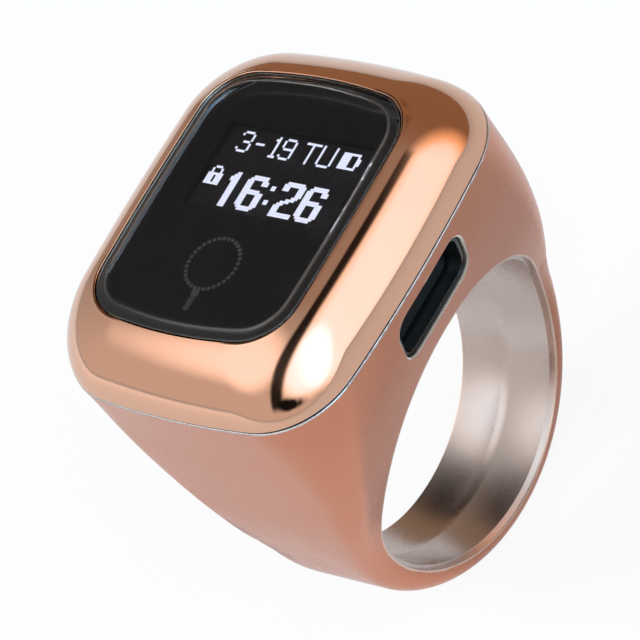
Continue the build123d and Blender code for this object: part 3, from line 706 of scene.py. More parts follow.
def evened(skin, height, reach, rounds):
    """Vertex normals of a skin, averaged with their neighbours near a height."""
    mesh = skin.data
    bends = np.empty(len(mesh.vertices) * 3, np.float32)
    mesh.vertex_normals.foreach_get("vector", bends)
    bends = bends.reshape(-1, 3)
    points = np.empty(len(mesh.vertices) * 3, np.float32)
    mesh.vertices.foreach_get("co", points)
    ends = np.empty(len(mesh.edges) * 2, np.int32)
    mesh.edges.foreach_get("vertices", ends)
    ends = ends.reshape(-1, 2)
    near = np.clip(1.5 - 1.5 * np.abs(points.reshape(-1, 3)[:, 2] - height) / reach, 0, 1)[:, None]
    for _ in range(rounds):
        total = bends.copy()
        np.add.at(total, ends[:, 0], bends[ends[:, 1]])
        np.add.at(total, ends[:, 1], bends[ends[:, 0]])
        total /= np.linalg.norm(total, axis=1)[:, None]
        bends = bends * (1 - near) + total * near
        bends /= np.linalg.norm(bends, axis=1)[:, None]
    return bends


def outwards(skin, centre):
    """Turns an open skin's faces away from a point inside it."""
    facing = sum(p.normal.dot(p.center - centre) * p.area for p in skin.data.polygons)
    if facing < 0:
        skin.data.flip_normals()
    return skin


def domed(start, end, height, bulge):
    """Half size at a height of the arc between two (half size, height) points."""
    length_across = math.hypot(end[0] - start[0], end[1] - start[1])
    radius = (length_across ** 2 / 4 + bulge ** 2) / (2 * bulge)
    inward = (radius - bulge) / length_across
    middle_x = (start[0] + end[0]) / 2 - (end[1] - start[1]) * inward
    middle_z = (start[1] + end[1]) / 2 - (start[0] - end[0]) * inward
    return middle_x + math.sqrt(radius ** 2 - (height - middle_z) ** 2)


# How far the bezel's sides and ends stand out from a straight slope, in millimetres, its corner
# and side crown at the rim, and how much rounder its corners are half way up.
DOME_BULGES = (0.8, 0.68)
RIM_CORNER, RIM_CROWN, CORNER_SWELL = 3.7, 0.2, 1.2


def bezel_skin(shape, display):
    """Domed skin of the bezel from the seam to its rim."""
    low, high = shape.seam_height / MM + 0.06, (shape.seam_height + shape.bezel_rise) / MM
    half_x, half_y = shape.head_half_x / MM, shape.head_half_y / MM
    corner, crown_x, crown_y = BODY_OUTLINES[-1][2:]
    rim_x, rim_y = display.lens_half_x / MM + 0.2, display.lens_half_y / MM + 0.2
    rings = []
    for step in np.linspace(0, 1, 60):
        share = math.sin(math.pi / 2 * step)
        height = low + share * (high - low)
        rings.append(level(pillow(
            domed((half_x, low), (rim_x, high), height, DOME_BULGES[0]),
            domed((half_y, low), (rim_y, high), height, DOME_BULGES[1]),
            corner + share * (RIM_CORNER - corner) + CORNER_SWELL * math.sin(math.pi * step),
            crown_x + share * (RIM_CROWN - crown_x), crown_y), height) * MM)
    skin = stacked("bezel_skin", rings, close=False)
    return outwards(skin, Vector((0, 0, 0.012)))


def liner_skin(shape):
    """Inner skin of the bore's liner, with its soft groove."""
    across = np.concatenate([np.linspace(-11, -1.2, 24), np.linspace(-1.1, 1.1, 45),
                             np.linspace(1.2, 11, 24)])
    bore = shape.bore_radius / MM
    rings = []
    for x in across:
        radius = bore + 0.12 * math.exp(-(x / 0.3) ** 2) + 0.12 * max(abs(x) - 3.3, 0.0) / 8.3
        angles = np.linspace(0, 2 * math.pi, 360, endpoint=False)
        rings.append(np.stack([np.full(360, x), radius * np.cos(angles),
                               radius * np.sin(angles)], 1) * MM)
    skin = stacked("liner_skin", rings, close=False)
    if sum(p.normal.dot(p.center * Vector((0, 1, 1))) for p in skin.data.polygons) > 0:
        skin.data.flip_normals()
    return skin


# ---- Readout --------------------------------------------------------------------------------
# Each bar is column, row, columns, rows, counted from the readout's upper left pixel.
SMALL_BARS = {
    "3": ((1, 0, 4, 1), (0, 1, 1, 1), (5, 1, 1, 3), (2, 4, 3, 1), (5, 5, 1, 3), (0, 7, 1, 1),
          (1, 8, 4, 1)),
    "-": ((0, 4, 4, 1),),
    "1": ((1, 1, 1, 1), (2, 0, 1, 8), (1, 8, 3, 1)),
    "9": ((1, 0, 4, 1), (0, 1, 1, 3), (5, 1, 1, 6), (1, 4, 4, 1), (0, 7, 1, 1), (1, 8, 4, 1),
          (5, 7, 1, 1)),
    "T": ((0, 0, 7, 1), (3, 1, 1, 8)),
    "U": ((0, 0, 1, 8), (6, 0, 1, 8), (1, 8, 5, 1)),
    "cell": ((0, 1, 8, 1), (0, 7, 8, 1), (0, 2, 4, 5), (7, 2, 1, 5), (8, 3, 1, 3)),
    "lock": ((2, 0, 3, 1), (1, 1, 1, 2), (5, 1, 1, 2), (0, 3, 7, 1), (0, 4, 3, 3), (4, 4, 3, 3),
             (0, 7, 7, 1)),
}
LARGE_BARS = {
    "1": ((0, 2, 1, 2), (1, 1, 3, 1), (2, 0, 2, 1), (1, 2, 3, 13)),
    "6": ((2, 0, 7, 1), (1, 1, 8, 1), (0, 2, 3, 11), (7, 2, 3, 2), (3, 6, 5, 2), (7, 7, 3, 6),
          (1, 13, 8, 1), (2, 14, 6, 1)),
    "2": ((1, 0, 8, 1), (0, 1, 10, 1), (0, 2, 3, 2), (7, 2, 3, 4), (6, 6, 3, 1), (4, 7, 4, 1),
          (2, 8, 4, 1), (1, 9, 3, 1), (0, 10, 3, 3), (0, 13, 10, 2)),
    ":": ((0, 3, 2, 2), (0, 9, 2, 2)),
}
READOUT = (
    (SMALL_BARS, "3", 5, 0), (SMALL_BARS, "-", 13, 0), (SMALL_BARS, "1", 20, 0),
    (SMALL_BARS, "9", 25, 0), (SMALL_BARS, "T", 35, 0), (SMALL_BARS, "U", 43, 0),
    (SMALL_BARS, "cell", 53, 0), (SMALL_BARS, "lock", 0, 16), (LARGE_BARS, "1", 11, 17),
    (LARGE_BARS, "6", 19, 17), (LARGE_BARS, ":", 31, 17), (LARGE_BARS, "2", 36, 17),
    (LARGE_BARS, "6", 47, 17),
)


def lit_cells():
    """Column and row of every lit pixel."""
    cells = set()
    for table, sign, column, row in READOUT:
        for left, top, wide, tall in table[sign]:
            for x in range(wide):
                for y in range(tall):
                    cells.add((column + left + x, row + top + y))
    return sorted(cells)


def node_tree(name, inputs):
    """Geometry node tree with a geometry input, named inputs and a geometry output."""
    tree = bpy.data.node_groups.new(name, "GeometryNodeTree")
    socket(tree, "Geometry", "NodeSocketGeometry")
    for label, kind, default in inputs:
        socket(tree, label, kind, default)
    socket(tree, "Geometry", "NodeSocketGeometry", inside=False)
    return tree, tree.nodes.new("NodeGroupInput"), tree.nodes.new("NodeGroupOutput")


def settle(host, tree, values):
    """Runs a node tree on an object and keeps the result as its plain mesh."""
    modifier = host.modifiers.new("Build", "NODES")
    modifier.node_group = tree
    for item in tree.interface.items_tree:
        if item.item_type == "SOCKET" and item.in_out == "INPUT" and item.name in values:
            modifier[item.identifier] = values[item.name]
    bpy.context.view_layer.update()
    evaluated = host.evaluated_get(bpy.context.evaluated_depsgraph_get())
    mesh = bpy.data.meshes.new_from_object(evaluated)
    host.modifiers.remove(modifier)
    old, host.data = host.data, mesh
    mesh.name = host.name
    bpy.data.meshes.remove(old)
    if not mesh.polygons:
        raise RuntimeError(f"{host.name} came out empty")
    return host


def ending(tree, geometry, material, outside):
    """Ends a tree in Realize Instances and Set Material."""
    real = tree.nodes.new("GeometryNodeRealizeInstances")
    paint = tree.nodes.new("GeometryNodeSetMaterial")
    paint.inputs["Material"].default_value = material
    link(tree, geometry, real.inputs["Geometry"])
    link(tree, real.outputs["Geometry"], paint.inputs["Geometry"])
    link(tree, paint.outputs["Geometry"], outside.inputs["Geometry"])


def pixel_tree(material):
    """Tiles one small slab on every point."""
    tree, inside, outside = node_tree("Lit pixels", (
        ("Pixel Size", "NodeSocketFloat", 0.00016), ("Thickness", "NodeSocketFloat", 0.00001)))
    slab = tree.nodes.new("GeometryNodeMeshCube")
    size = tree.nodes.new("ShaderNodeCombineXYZ")
    link(tree, inside.outputs["Pixel Size"], size.inputs[0])
    link(tree, inside.outputs["Pixel Size"], size.inputs[1])
    link(tree, inside.outputs["Thickness"], size.inputs[2])
    link(tree, size.outputs[0], slab.inputs["Size"])
    tiles = tree.nodes.new("GeometryNodeInstanceOnPoints")
    link(tree, inside.outputs["Geometry"], tiles.inputs["Points"])
    link(tree, slab.outputs["Mesh"], tiles.inputs["Instance"])
    ending(tree, tiles.outputs["Instances"], material, outside)
    return tree


def string_tree(material):
    """Printed string of beads: a ring of small discs, one large disc and a tassel."""
    tree, inside, outside = node_tree("Printed beads", (
        ("Beads", "NodeSocketInt", 33), ("Ring Radius", "NodeSocketFloat", 0.0019),
        ("Bead Radius", "NodeSocketFloat", 0.000145), ("Strands", "NodeSocketInt", 5),
        ("Thickness", "NodeSocketFloat", 0.00001)))
    ring = tree.nodes.new("GeometryNodeCurvePrimitiveCircle")
    points = tree.nodes.new("GeometryNodeCurveToPoints")
    points.mode = "COUNT"
    link(tree, inside.outputs["Ring Radius"], ring.inputs["Radius"])
    link(tree, ring.outputs["Curve"], points.inputs["Curve"])
    link(tree, inside.outputs["Beads"], points.inputs["Count"])
    bead = tree.nodes.new("GeometryNodeMeshCylinder")
    bead.inputs["Vertices"].default_value = 16
    link(tree, inside.outputs["Bead Radius"], bead.inputs["Radius"])
    link(tree, inside.outputs["Thickness"], bead.inputs["Depth"])
    beads = tree.nodes.new("GeometryNodeInstanceOnPoints")
    link(tree, points.outputs["Points"], beads.inputs["Points"])
    link(tree, bead.outputs["Mesh"], beads.inputs["Instance"])
    join = tree.nodes.new("GeometryNodeJoinGeometry")
    link(tree, beads.outputs["Instances"], join.inputs["Geometry"])
    head = tree.nodes.new("GeometryNodeMeshCylinder")
    head.inputs["Vertices"].default_value = 24
    link(tree, scaled(tree, inside.outputs["Bead Radius"], 2.1), head.inputs["Radius"])
    link(tree, inside.outputs["Thickness"], head.inputs["Depth"])
    link(tree, lowered(tree, head.outputs["Mesh"], inside.outputs["Ring Radius"], -1.17),
         join.inputs["Geometry"])
    strand = tree.nodes.new("GeometryNodeMeshCube")
    size = tree.nodes.new("ShaderNodeCombineXYZ")
    link(tree, scaled(tree, inside.outputs["Bead Radius"], 0.45), size.inputs[0])
    link(tree, scaled(tree, inside.outputs["Ring Radius"], 0.5), size.inputs[1])
    link(tree, inside.outputs["Thickness"], size.inputs[2])
    link(tree, size.outputs[0], strand.inputs["Size"])
    row = tree.nodes.new("GeometryNodeMeshLine")
    link(tree, inside.outputs["Strands"], row.inputs["Count"])
    row.inputs["Start Location"].default_value = (-0.00018, 0, 0)
    row.inputs["Offset"].default_value = (0.00009, 0, 0)
    tassel = tree.nodes.new("GeometryNodeInstanceOnPoints")
    link(tree, row.outputs["Mesh"], tassel.inputs["Points"])
    link(tree, strand.outputs["Mesh"], tassel.inputs["Instance"])
    link(tree, lowered(tree, tassel.outputs["Instances"], inside.outputs["Ring Radius"], -1.6),
         join.inputs["Geometry"])
    ending(tree, join.outputs["Geometry"], material, outside)
    return tree


def scaled(tree, value, factor):
    """A value times a factor."""
    node = tree.nodes.new("ShaderNodeMath")
    node.operation = "MULTIPLY"
    node.inputs[1].default_value = factor
    link(tree, value, node.inputs[0])
    return node.outputs[0]


def lowered(tree, geometry, radius, share):
    """Geometry moved along Y by a share of a radius."""
    move = tree.nodes.new("GeometryNodeTransform")
    shift = tree.nodes.new("ShaderNodeCombineXYZ")
    link(tree, scaled(tree, radius, share), shift.inputs[1])
    link(tree, geometry, move.inputs["Geometry"])
    link(tree, shift.outputs[0], move.inputs["Translation"])
    return move.outputs["Geometry"]


# ---- Operators ------------------------------------------------------------------------------
class TASBIH_OT_ring(bpy.types.Operator):
    """Ring body in satin rose gold"""

    bl_idname = "tasbih.ring"
    bl_label = "Ring body"

    def execute(self, context):
        shape = context.scene.tasbih_body
        skin = body_skin(shape)
        ring = dressed_copy(
            "ring_body", "ring_shell", skin, 0.0003, agree=0.55,
            bends=evened(skin, shape.hoop_lift, 0.0034, 60), finest=0.0007,
            lift=ring_lift(shape), shift=fairing(shape), ledge=shape.hoop_lift)
        satin = handled("satin_rose_gold", surface_group(), shape.metal, (0.64, 0.275, 0.172),
                        1.0, 0.25, smudge=0.05, drift=0.5, drift_scale=90.0, bump=0.0)
        # Painted highlights: lighter lines along the edge at the seam, the bore's rim and the
        # slot's rim.
        painted_edge_highlight(satin, shape.seam_height - 0.00015, shape.seam_height, EDGE_HIGHLIGHT)
        bore = shape.bore_radius + shape.liner_wall
        painted_edge_highlight(satin, bore - 0.0001, bore + 0.00012, (0.70, 0.50, 0.41), from_bore)
        painted_edge_highlight(satin, -0.00005, 0.00013, (0.85, 0.72, 0.62), from_slot)
        place_piece(ring, "case", satin, "satin_rose_gold", "ring_body")
        return {"FINISHED"}


class TASBIH_OT_bezel(bpy.types.Operator):
    """Domed bezel in polished rose gold, and the gasket under it"""

    bl_idname = "tasbih.bezel"
    bl_label = "Bezel"

    def execute(self, context):
        shape, display = context.scene.tasbih_body, context.scene.tasbih_display
        bezel = dressed_copy("bezel_cover", "bezel_shell", bezel_skin(shape, display), 0.00025)
        polish = handled("polished_rose_gold", surface_group(), (0.70, 0.39, 0.265),
                         (0.73, 0.42, 0.285), 1.0, 0.06, smudge=0.03, drift=0.3, bump=0.0)
        # Painted highlight: a lighter line along the bezel's edge at the seam.
        painted_edge_highlight(polish, shape.seam_height, shape.seam_height + 0.00013, EDGE_HIGHLIGHT)
        place_piece(bezel, "case", polish, "polished_rose_gold", "bezel_cover")
        NODES["seam_gasket"].material_slots[0].material = plain("gasket_black", (0.012,) * 3, 0.5)
        return {"FINISHED"}


class TASBIH_OT_liner(bpy.types.Operator):
    """Polished liner of the finger bore, with the charging contacts"""

    bl_idname = "tasbih.liner"
    bl_label = "Bore liner"

    def execute(self, context):
        shape = context.scene.tasbih_body
        liner = dressed_copy("finger_liner", "bore_liner", liner_skin(shape), 0.0001, agree=0.8)
        steel = handled("polished_liner", surface_group(), shape.steel, (0.63, 0.54, 0.50), 1.0,
                        0.26, smudge=0.04, drift=0.4, drift_scale=120.0, bump=0.0)
        place_piece(liner, "case", steel, "polished_steel", "finger_liner")
        gold = plain("gold_contact", (0.90, 0.66, 0.28), 0.2, 1.0)
        black = plain("sleeve_black", (0.02,) * 3, 0.35)
        for node, name, finish, slot_name in (
                ("charge_pins", "contact_pins", gold, "gold_contact"),
                ("pin_sleeves", "contact_sleeves", black, "sleeve_plastic")):
            place_piece(dressed_copy(node, name, None, 0), "case", finish, slot_name, node)
        return {"FINISHED"}


class TASBIH_OT_key(bpy.types.Operator):
    """Count button and its surround"""

    bl_idname = "tasbih.key"
    bl_label = "Count button"

    def execute(self, context):
        gloss = handled("key_gloss", surface_group(), (0.008,) * 3, (0.02,) * 3, 0.0, 0.12,
                        smudge=0.1, drift=0.4, bump=0.03, grain=5000.0)
        lining = handled("slot_gloss", surface_group(), (0.006,) * 3, (0.015,) * 3, 0.0, 0.2,
                         smudge=0.1, drift=0.4, bump=0.03, grain=5000.0)
        place_piece(dressed_copy("count_button", "press_key", None, 0), "key", gloss,
                    "key_plastic", "count_button")
        place_piece(dressed_copy("button_surround", "slot_surround", None, 0), "case", lining,
                    "surround_plastic", "button_surround")
        return {"FINISHED"}


# Inset from the glass's edge and drop below its top, along the border's slope, in millimetres.
GLASS_BORDER = ((0.3, 0.175), (0.45, 0.145), (0.6, 0.11), (0.62, 0.103), (0.64, 0.093),
                (0.72, 0.045), (0.74, 0.034), (0.78, 0.022), (0.95, 0.006), (1.15, 0.0))


class TASBIH_OT_glass(bpy.types.Operator):
    """Cover glass with its sloping border"""

    bl_idname = "tasbih.glass"
    bl_label = "Cover glass"

    def execute(self, context):
        display = context.scene.tasbih_display
        half_x, half_y = display.lens_half_x / MM, display.lens_half_y / MM
        top, thick = display.lens_top / MM, display.lens_thickness / MM
        profile = [(0.06, top - thick + 0.03), (0.0, top - thick + 0.09), (0.0, top - 0.33)]
        profile += [(0.12 - 0.12 * math.cos(a), top - 0.33 + 0.12 * math.sin(a))
                    for a in np.linspace(0.2, 1.4, 7)]
        profile += [(inset, top - drop) for inset, drop in GLASS_BORDER]
        rings = [level(pillow(half_x - inset, half_y - inset, 3.5 - inset, 0.2, 0.9), height) * MM
                 for inset, height in profile]
        glass = stacked("cover_glass", rings)
        glass.data.set_sharp_from_angle(angle=math.radians(50))
        for polygon in glass.data.polygons:
            polygon.use_smooth = len(polygon.vertices) <= 4
        material = bpy.data.materials.new("cover_glass")
        material.use_nodes = True
        tree = material.node_tree
        shader = tree.nodes["Principled BSDF"]
        shader.inputs["Metallic"].default_value = 0.0
        shader.inputs["Transmission Weight"].default_value = 1.0
        shader.inputs["IOR"].default_value = 1.5
        effect = tree.nodes.new("ShaderNodeGroup")
        effect.node_tree = surface_group()
        place = tree.nodes.new("ShaderNodeTexCoord")
        link(tree, place.outputs["Object"], effect.inputs["Vector"])
        effect.inputs["Color"].default_value = (0.93, 0.94, 0.96, 1)
        effect.inputs["Worn Color"].default_value = (0.97, 0.97, 0.98, 1)
        effect.inputs["Roughness"].default_value = 0.0
        effect.inputs["Smudge"].default_value = 0.015
        link(tree, effect.outputs["Color"], shader.inputs["Base Color"])
        link(tree, effect.outputs["Roughness"], shader.inputs["Roughness"])
        place_piece(glass, "case", material, "cover_glass", "glass_lens")
        return {"FINISHED"}


class TASBIH_OT_readout(bpy.types.Operator):
    """Lit pixels of the readout"""

    bl_idname = "tasbih.readout"
    bl_label = "Readout"

    def execute(self, context):
        display = context.scene.tasbih_display
        material = bpy.data.materials.new("lit_pixels")
        material.use_nodes = True
        tree = material.node_tree
        shader = tree.nodes["Principled BSDF"]
        shader.inputs["Base Color"].default_value = (0.02, 0.02, 0.03, 1)
        shader.inputs["Emission Strength"].default_value = display.glow
        place = tree.nodes.new("ShaderNodeTexCoord")
        uneven = noise(tree, 2600.0, 2.0, place.outputs["Object"])
        tint = tree.nodes.new("ShaderNodeMix")
        tint.data_type = "RGBA"
        tint.inputs[6].default_value = (*display.lit, 1)
        tint.inputs[7].default_value = (0.80, 0.82, 0.95, 1)
        link(tree, uneven.outputs["Fac"], tint.inputs[0])
        link(tree, tint.outputs[2], shader.inputs["Emission Color"])
        pitch = display.pixel_pitch
        left = display.readout_x - 31.5 * pitch
        high = display.readout_y + 15.5 * pitch
        points = bpy.data.meshes.new("lit_pixels")
        points.from_pydata([(left + c * pitch, high - r * pitch, display.readout_z)
                            for c, r in lit_cells()], [], [])
        host = bpy.data.objects.new("lit_pixels", points)
        context.scene.collection.objects.link(host)
        settle(host, pixel_tree(material), {"Pixel Size": pitch * display.pixel_fill,
                                            "Thickness": display.print_thickness})
        place_piece(host, "case", material, "panel_glass")
        return {"FINISHED"}


class TASBIH_OT_motif(bpy.types.Operator):
    """Dim printed string of beads below the readout"""

    bl_idname = "tasbih.motif"
    bl_label = "Printed beads"

    def execute(self, context):
        display = context.scene.tasbih_display
        ink = plain("bead_print", (0.066, 0.062, 0.061), 0.7, specular_ior_level=0.05)
        host = bpy.data.objects.new("printed_beads", bpy.data.meshes.new("printed_beads"))
        context.scene.collection.objects.link(host)
        settle(host, string_tree(ink), {"Beads": display.bead_count,
                                        "Ring Radius": display.string_radius,
                                        "Bead Radius": display.bead_radius,
                                        "Strands": display.strands,
                                        "Thickness": display.print_thickness})
        height = display.lens_top - display.lens_thickness + display.print_thickness
        host.data.transform(Matrix.Translation((display.motif_x, display.motif_y, height)))
        place_piece(host, "case", ink, "mask_ink")
        return {"FINISHED"}


class TASBIH_OT_inner_parts(bpy.types.Operator):
    """Finishes of the display, board, battery, motor and screws inside the head"""

    bl_idname = "tasbih.inner_parts"
    bl_label = "Inner parts"

    def execute(self, context):
        ink = plain("mask_ink", (0.004, 0.004, 0.005), 0.7, specular_ior_level=0.05)
        tape = plain("black_tape", (0.02,) * 3, 0.8)
        steel = plain("sheet_steel", (0.60, 0.60, 0.62), 0.3, 1.0, stretch=(1, 14, 1))
        machined = plain("screw_steel", (0.50, 0.50, 0.52), 0.25, 1.0)
        resin = plain("chip_resin", (0.03, 0.03, 0.033), 0.55)
        finishes = {
            "lens_mask": ink, "lens_adhesive": tape, "panel_tape": tape,
            "oled_panel": plain("panel_glass", (0.006, 0.006, 0.009), 0.12),
            "display_driver": plain("driver_silicon", (0.10, 0.10, 0.13), 0.18, 0.4),
            "display_flex": plain("amber_flex", (0.50, 0.20, 0.035), 0.3),
            "foam_pad": plain("foam", (0.03,) * 3, 0.9, grain=3000.0),
            "display_frame": steel, "frame_screws": machined, "board_screws": machined,
            "battery_cell": plain("cell_can", (0.62, 0.63, 0.66), 0.35, 0.9),
            "battery_leads": plain("nickel_strip", (0.62, 0.58, 0.50), 0.3, 1.0),
            "circuit_board": plain("board_laminate", (0.012, 0.10, 0.045), 0.35),
            "processor_chip": resin, "power_chip": resin,
            "crystal_can": plain("crystal_steel", (0.72, 0.68, 0.58), 0.25, 1.0),
            "chip_antenna": plain("white_ceramic", (0.80, 0.80, 0.77), 0.6),
            "passive_parts": plain("tan_ceramic", (0.42, 0.27, 0.16), 0.6),
            "flex_connector": plain("connector_resin", (0.72, 0.69, 0.58), 0.5),
            "tact_switch": plain("switch_black", (0.03,) * 3, 0.5),
            "switch_plunger": plain("plunger_white", (0.72, 0.72, 0.68), 0.45),
            "motor_can": plain("motor_steel", (0.64, 0.64, 0.66), 0.22, 1.0),
            "motor_cap": plain("cap_resin", (0.62, 0.58, 0.48), 0.5),
            "motor_magnet": plain("magnet_nickel", (0.45, 0.44, 0.42), 0.3, 1.0),
            "motor_coil": plain("copper_coil", (0.70, 0.28, 0.12), 0.35, 1.0, stretch=(30, 1, 1)),
            "motor_shaft": plain("shaft_steel", (0.66, 0.66, 0.68), 0.15, 1.0),
            "motor_weight": plain("heavy_alloy", (0.34, 0.34, 0.36), 0.4, 1.0),
            "motor_saddle": plain("saddle_rubber", (0.02,) * 3, 0.8),
        }
        for name, finish in finishes.items():
            NODES[name].material_slots[0].material = finish
        return {"FINISHED"}


class TASBIH_OT_stage(bpy.types.Operator):
    """Floor, studio light and camera"""

    bl_idname = "tasbih.stage"
    bl_label = "Stage"

    def execute(self, context):
        stage = context.scene.tasbih_stage
        low = CAD_BOX[0][2]
        floor = mesh_object("floor", [(-3, -3, low), (3, -3, low), (3, 3, low), (-3, 3, low)],
                            [(0, 1, 2, 3)])
        floor.data.materials.append(pale_floor(tuple(stage.floor)))
        for name, place, size, power, tone in SOFTBOXES:
            lamp = bpy.data.lights.new(name, "AREA")
            lamp.shape = "RECTANGLE"
            lamp.size, lamp.size_y = size
            lamp.energy = power
            lamp.color = tone
            box = bpy.data.objects.new(name, lamp)
            box.matrix_world = facing(Vector(place))
            box.visible_glossy = False
            context.scene.collection.objects.link(box)
        context.scene.world = studio_world()
        context.scene.view_settings.view_transform = "Standard"
        lens = bpy.data.cameras.new("camera")
        lens.lens, lens.sensor_width = stage.lens, 36.0
        lens.clip_start, lens.clip_end = 0.01, 20.0
        camera = bpy.data.objects.new("camera", lens)
        rows = Matrix(CAMERA_ROWS)
        turn = Matrix((rows[0], -rows[1], -rows[2])).transposed().to_4x4()
        camera.matrix_world = Matrix.Translation(
            (stage.camera_x, stage.camera_y, stage.camera_z)) @ turn
        context.scene.collection.objects.link(camera)
        context.scene.camera = camera
        return {"FINISHED"}


CAMERA_ROWS = ((0.743075315846333, 0.48027274022836963, -0.4660227140101709),
               (0.15932558163910074, -0.8033206001679192, -0.573839152011447),
               (-0.6499649482973946, 0.352156369159195, -0.673447442377932))
SOFTBOXES = (
    ("front_softbox", (-0.36, -0.30, 0.40), (0.30, 0.30), 2.3, (1.0, 0.99, 0.97)),
    ("side_softbox", (0.44, -0.20, 0.44), (0.30, 0.30), 0.6, (1.0, 0.98, 0.95)),
)


def facing(place):
    """Transform at a place, looking at the origin."""
    return Matrix.Translation(place) @ (-place).to_track_quat("-Z", "Y").to_matrix().to_4x4()


def pale_floor(color):
    """Pale matt floor that the camera and the metal see nearer to white."""
    material = bpy.data.materials.new("pale_floor")
    material.use_nodes = True
    tree = material.node_tree
    shader = tree.nodes["Principled BSDF"]
    shader.inputs["Base Color"].default_value = (*color, 1)
    shader.inputs["Roughness"].default_value = 0.9
    shader.inputs["Specular IOR Level"].default_value = 0.0
    white = tree.nodes.new("ShaderNodeEmission")
    path = tree.nodes.new("ShaderNodeLightPath")
    seen = combined(tree, "MAXIMUM", path.outputs["Is Camera Ray"],
                    path.outputs["Is Transmission Ray"])
    seen = combined(tree, "MAXIMUM", scaled(tree, seen, 0.9),
                    scaled(tree, path.outputs["Is Glossy Ray"], 0.2))
    mix = tree.nodes.new("ShaderNodeMixShader")
    link(tree, seen, mix.inputs[0])
    link(tree, shader.outputs[0], mix.inputs[1])
    link(tree, white.outputs[0], mix.inputs[2])
    link(tree, mix.outputs[0], tree.nodes["Material Output"].inputs["Surface"])
    return material


def combined(tree, operation, first, second):
    """Two values through a math node."""
    node = tree.nodes.new("ShaderNodeMath")
    node.operation = operation
    for place, value in enumerate((first, second)):
        if isinstance(value, float):
            node.inputs[place].default_value = value
        else:
            link(tree, value, node.inputs[place])
    return node.outputs[0]


def ramp(tree, value, start, end, low, high):
    """Soft step of a value from low to high."""
    node = tree.nodes.new("ShaderNodeMapRange")
    node.interpolation_type = "SMOOTHSTEP"
    for name, number in (("From Min", start), ("From Max", end), ("To Min", low), ("To Max", high)):
        node.inputs[name].default_value = number
    link(tree, value, node.inputs["Value"])
    return node.outputs["Result"]


def studio_world():
    """Soft room: pale toward the front, dim behind, soft lamps and a dark flag overhead."""
    world = bpy.data.worlds.new("studio")
    world.use_nodes = True
    tree = world.node_tree
    back = tree.nodes["Background"]
    place = tree.nodes.new("ShaderNodeTexCoord")
    split = tree.nodes.new("ShaderNodeSeparateXYZ")
    link(tree, place.outputs["Generated"], split.inputs[0])
    x, y, z = split.outputs
    level_light = ramp(tree, y, -0.6, 0.8, *ROOM_WALLS)
    for direction, inner, outer, amount in SOFT_LAMPS:
        dot = tree.nodes.new("ShaderNodeVectorMath")
        dot.operation = "DOT_PRODUCT"
        link(tree, place.outputs["Generated"], dot.inputs[0])
        dot.inputs[1].default_value = Vector(direction).normalized()
        glow = ramp(tree, dot.outputs["Value"], math.cos(math.radians(outer)),
                    math.cos(math.radians(inner)), 0.0, amount)
        level_light = combined(tree, "ADD", level_light, glow)
    flag = combined(tree, "MULTIPLY", ramp(tree, x, 0.08, 0.14, 0.0, 1.0),
                    ramp(tree, x, 0.27, 0.36, 1.0, 0.0))
    flag = combined(tree, "MULTIPLY", flag, ramp(tree, y, 0.37, 0.5, 1.0, 0.0))
    flag = combined(tree, "MULTIPLY", flag, ramp(tree, z, 0.12, 0.32, 0.0, 0.97))
    level_light = combined(tree, "MULTIPLY", level_light,
                           combined(tree, "SUBTRACT", 1.0, flag))
    level_light = combined(tree, "MAXIMUM", level_light, 0.01)
    path = tree.nodes.new("ShaderNodeLightPath")
    matt = ramp(tree, path.outputs["Is Diffuse Ray"], 0.0, 1.0, 1.0, 0.45)
    link(tree, combined(tree, "MULTIPLY", level_light, matt), back.inputs["Strength"])
    tone = tree.nodes.new("ShaderNodeMix")
    tone.data_type = "RGBA"
    tone.inputs[6].default_value = (1.0, 0.985, 0.965, 1)
    tone.inputs[7].default_value = (1.0, 0.64, 0.38, 1)
    link(tree, ramp(tree, y, 0.1, 0.8, 0.0, 1.0), tone.inputs[0])
    cool = tree.nodes.new("ShaderNodeMix")
    cool.data_type = "RGBA"
    cool.inputs[7].default_value = (0.60, 0.96, 1.25, 1)
    link(tree, ramp(tree, level_light, 1.3, 2.6, 0.0, 1.0), cool.inputs[0])
    link(tree, tone.outputs[2], cool.inputs[6])
    link(tree, cool.outputs[2], back.inputs["Color"])
    return world


ROOM_WALLS = (0.8, 0.34)
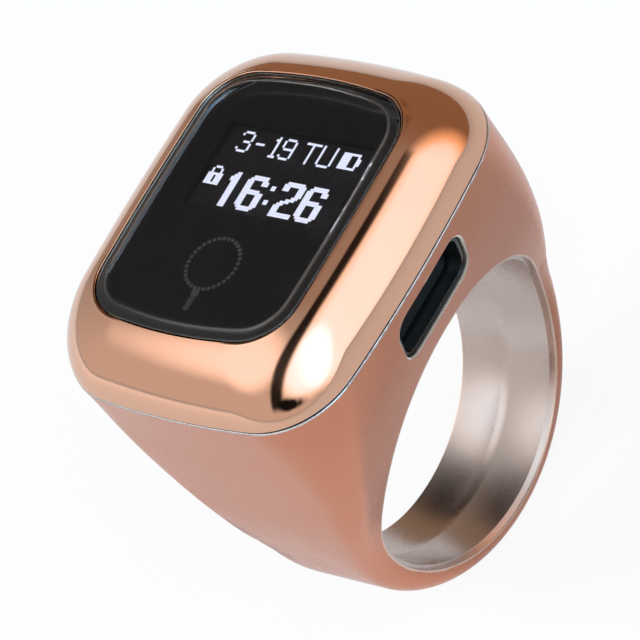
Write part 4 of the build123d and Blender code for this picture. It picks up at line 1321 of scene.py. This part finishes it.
# Each is a direction, the angles where its light is full and where it ends, and its strength.
SOFT_LAMPS = (
    ((0.656, -0.349, 0.669), 14, 40, 1.6),
    ((0.836, 0.224, 0.5), 22, 52, 1.6),
    ((-0.304, -0.434, 0.848), 15, 35, 1.0),
    ((-0.52, 0.44, 0.73), 12, 28, -0.36),
    ((0.389, -0.874, 0.292), 2, 12, -1.0),
    ((0.54, -0.80, 0.25), 1, 10, -0.7),
    ((0.65, -0.72, 0.23), 1, 8, -0.35),
)


class TASBIH_PT_panel(bpy.types.Panel):
    """Steps and sizes of the counter in the 3D view's sidebar"""

    bl_idname = "TASBIH_PT_panel"
    bl_label = "Finger tasbih counter"
    bl_space_type = "VIEW_3D"
    bl_region_type = "UI"
    bl_category = "Tasbih"

    def draw(self, context):
        for group in ("tasbih_body", "tasbih_display", "tasbih_stage"):
            box = self.layout.box()
            values = getattr(context.scene, group)
            for name in values.__annotations__:
                box.prop(values, name)
        for step in STEPS:
            self.layout.operator(step.bl_idname)


STEPS = (TASBIH_OT_ring, TASBIH_OT_bezel, TASBIH_OT_liner, TASBIH_OT_key, TASBIH_OT_glass,
         TASBIH_OT_readout, TASBIH_OT_motif, TASBIH_OT_inner_parts, TASBIH_OT_stage)
GROUPS = (TasbihBody, TasbihDisplay, TasbihStage)


def register():
    """Registers the groups, the steps and the panel."""
    for item in (*GROUPS, *STEPS, TASBIH_PT_panel):
        bpy.utils.register_class(item)
    bpy.types.Scene.tasbih_body = PointerProperty(type=TasbihBody)
    bpy.types.Scene.tasbih_display = PointerProperty(type=TasbihDisplay)
    bpy.types.Scene.tasbih_stage = PointerProperty(type=TasbihStage)


def unregister():
    """Takes them out again."""
    del bpy.types.Scene.tasbih_body, bpy.types.Scene.tasbih_display, bpy.types.Scene.tasbih_stage
    for item in reversed((*GROUPS, *STEPS, TASBIH_PT_panel)):
        bpy.utils.unregister_class(item)


def main():
    """Runs every step in order."""
    register()
    bpy.ops.tasbih.ring()
    bpy.ops.tasbih.bezel()
    bpy.ops.tasbih.liner()
    bpy.ops.tasbih.key()
    bpy.ops.tasbih.glass()
    bpy.ops.tasbih.readout()
    bpy.ops.tasbih.motif()
    bpy.ops.tasbih.inner_parts()
    bpy.ops.tasbih.stage()


if __name__ == "__main__":
    main()
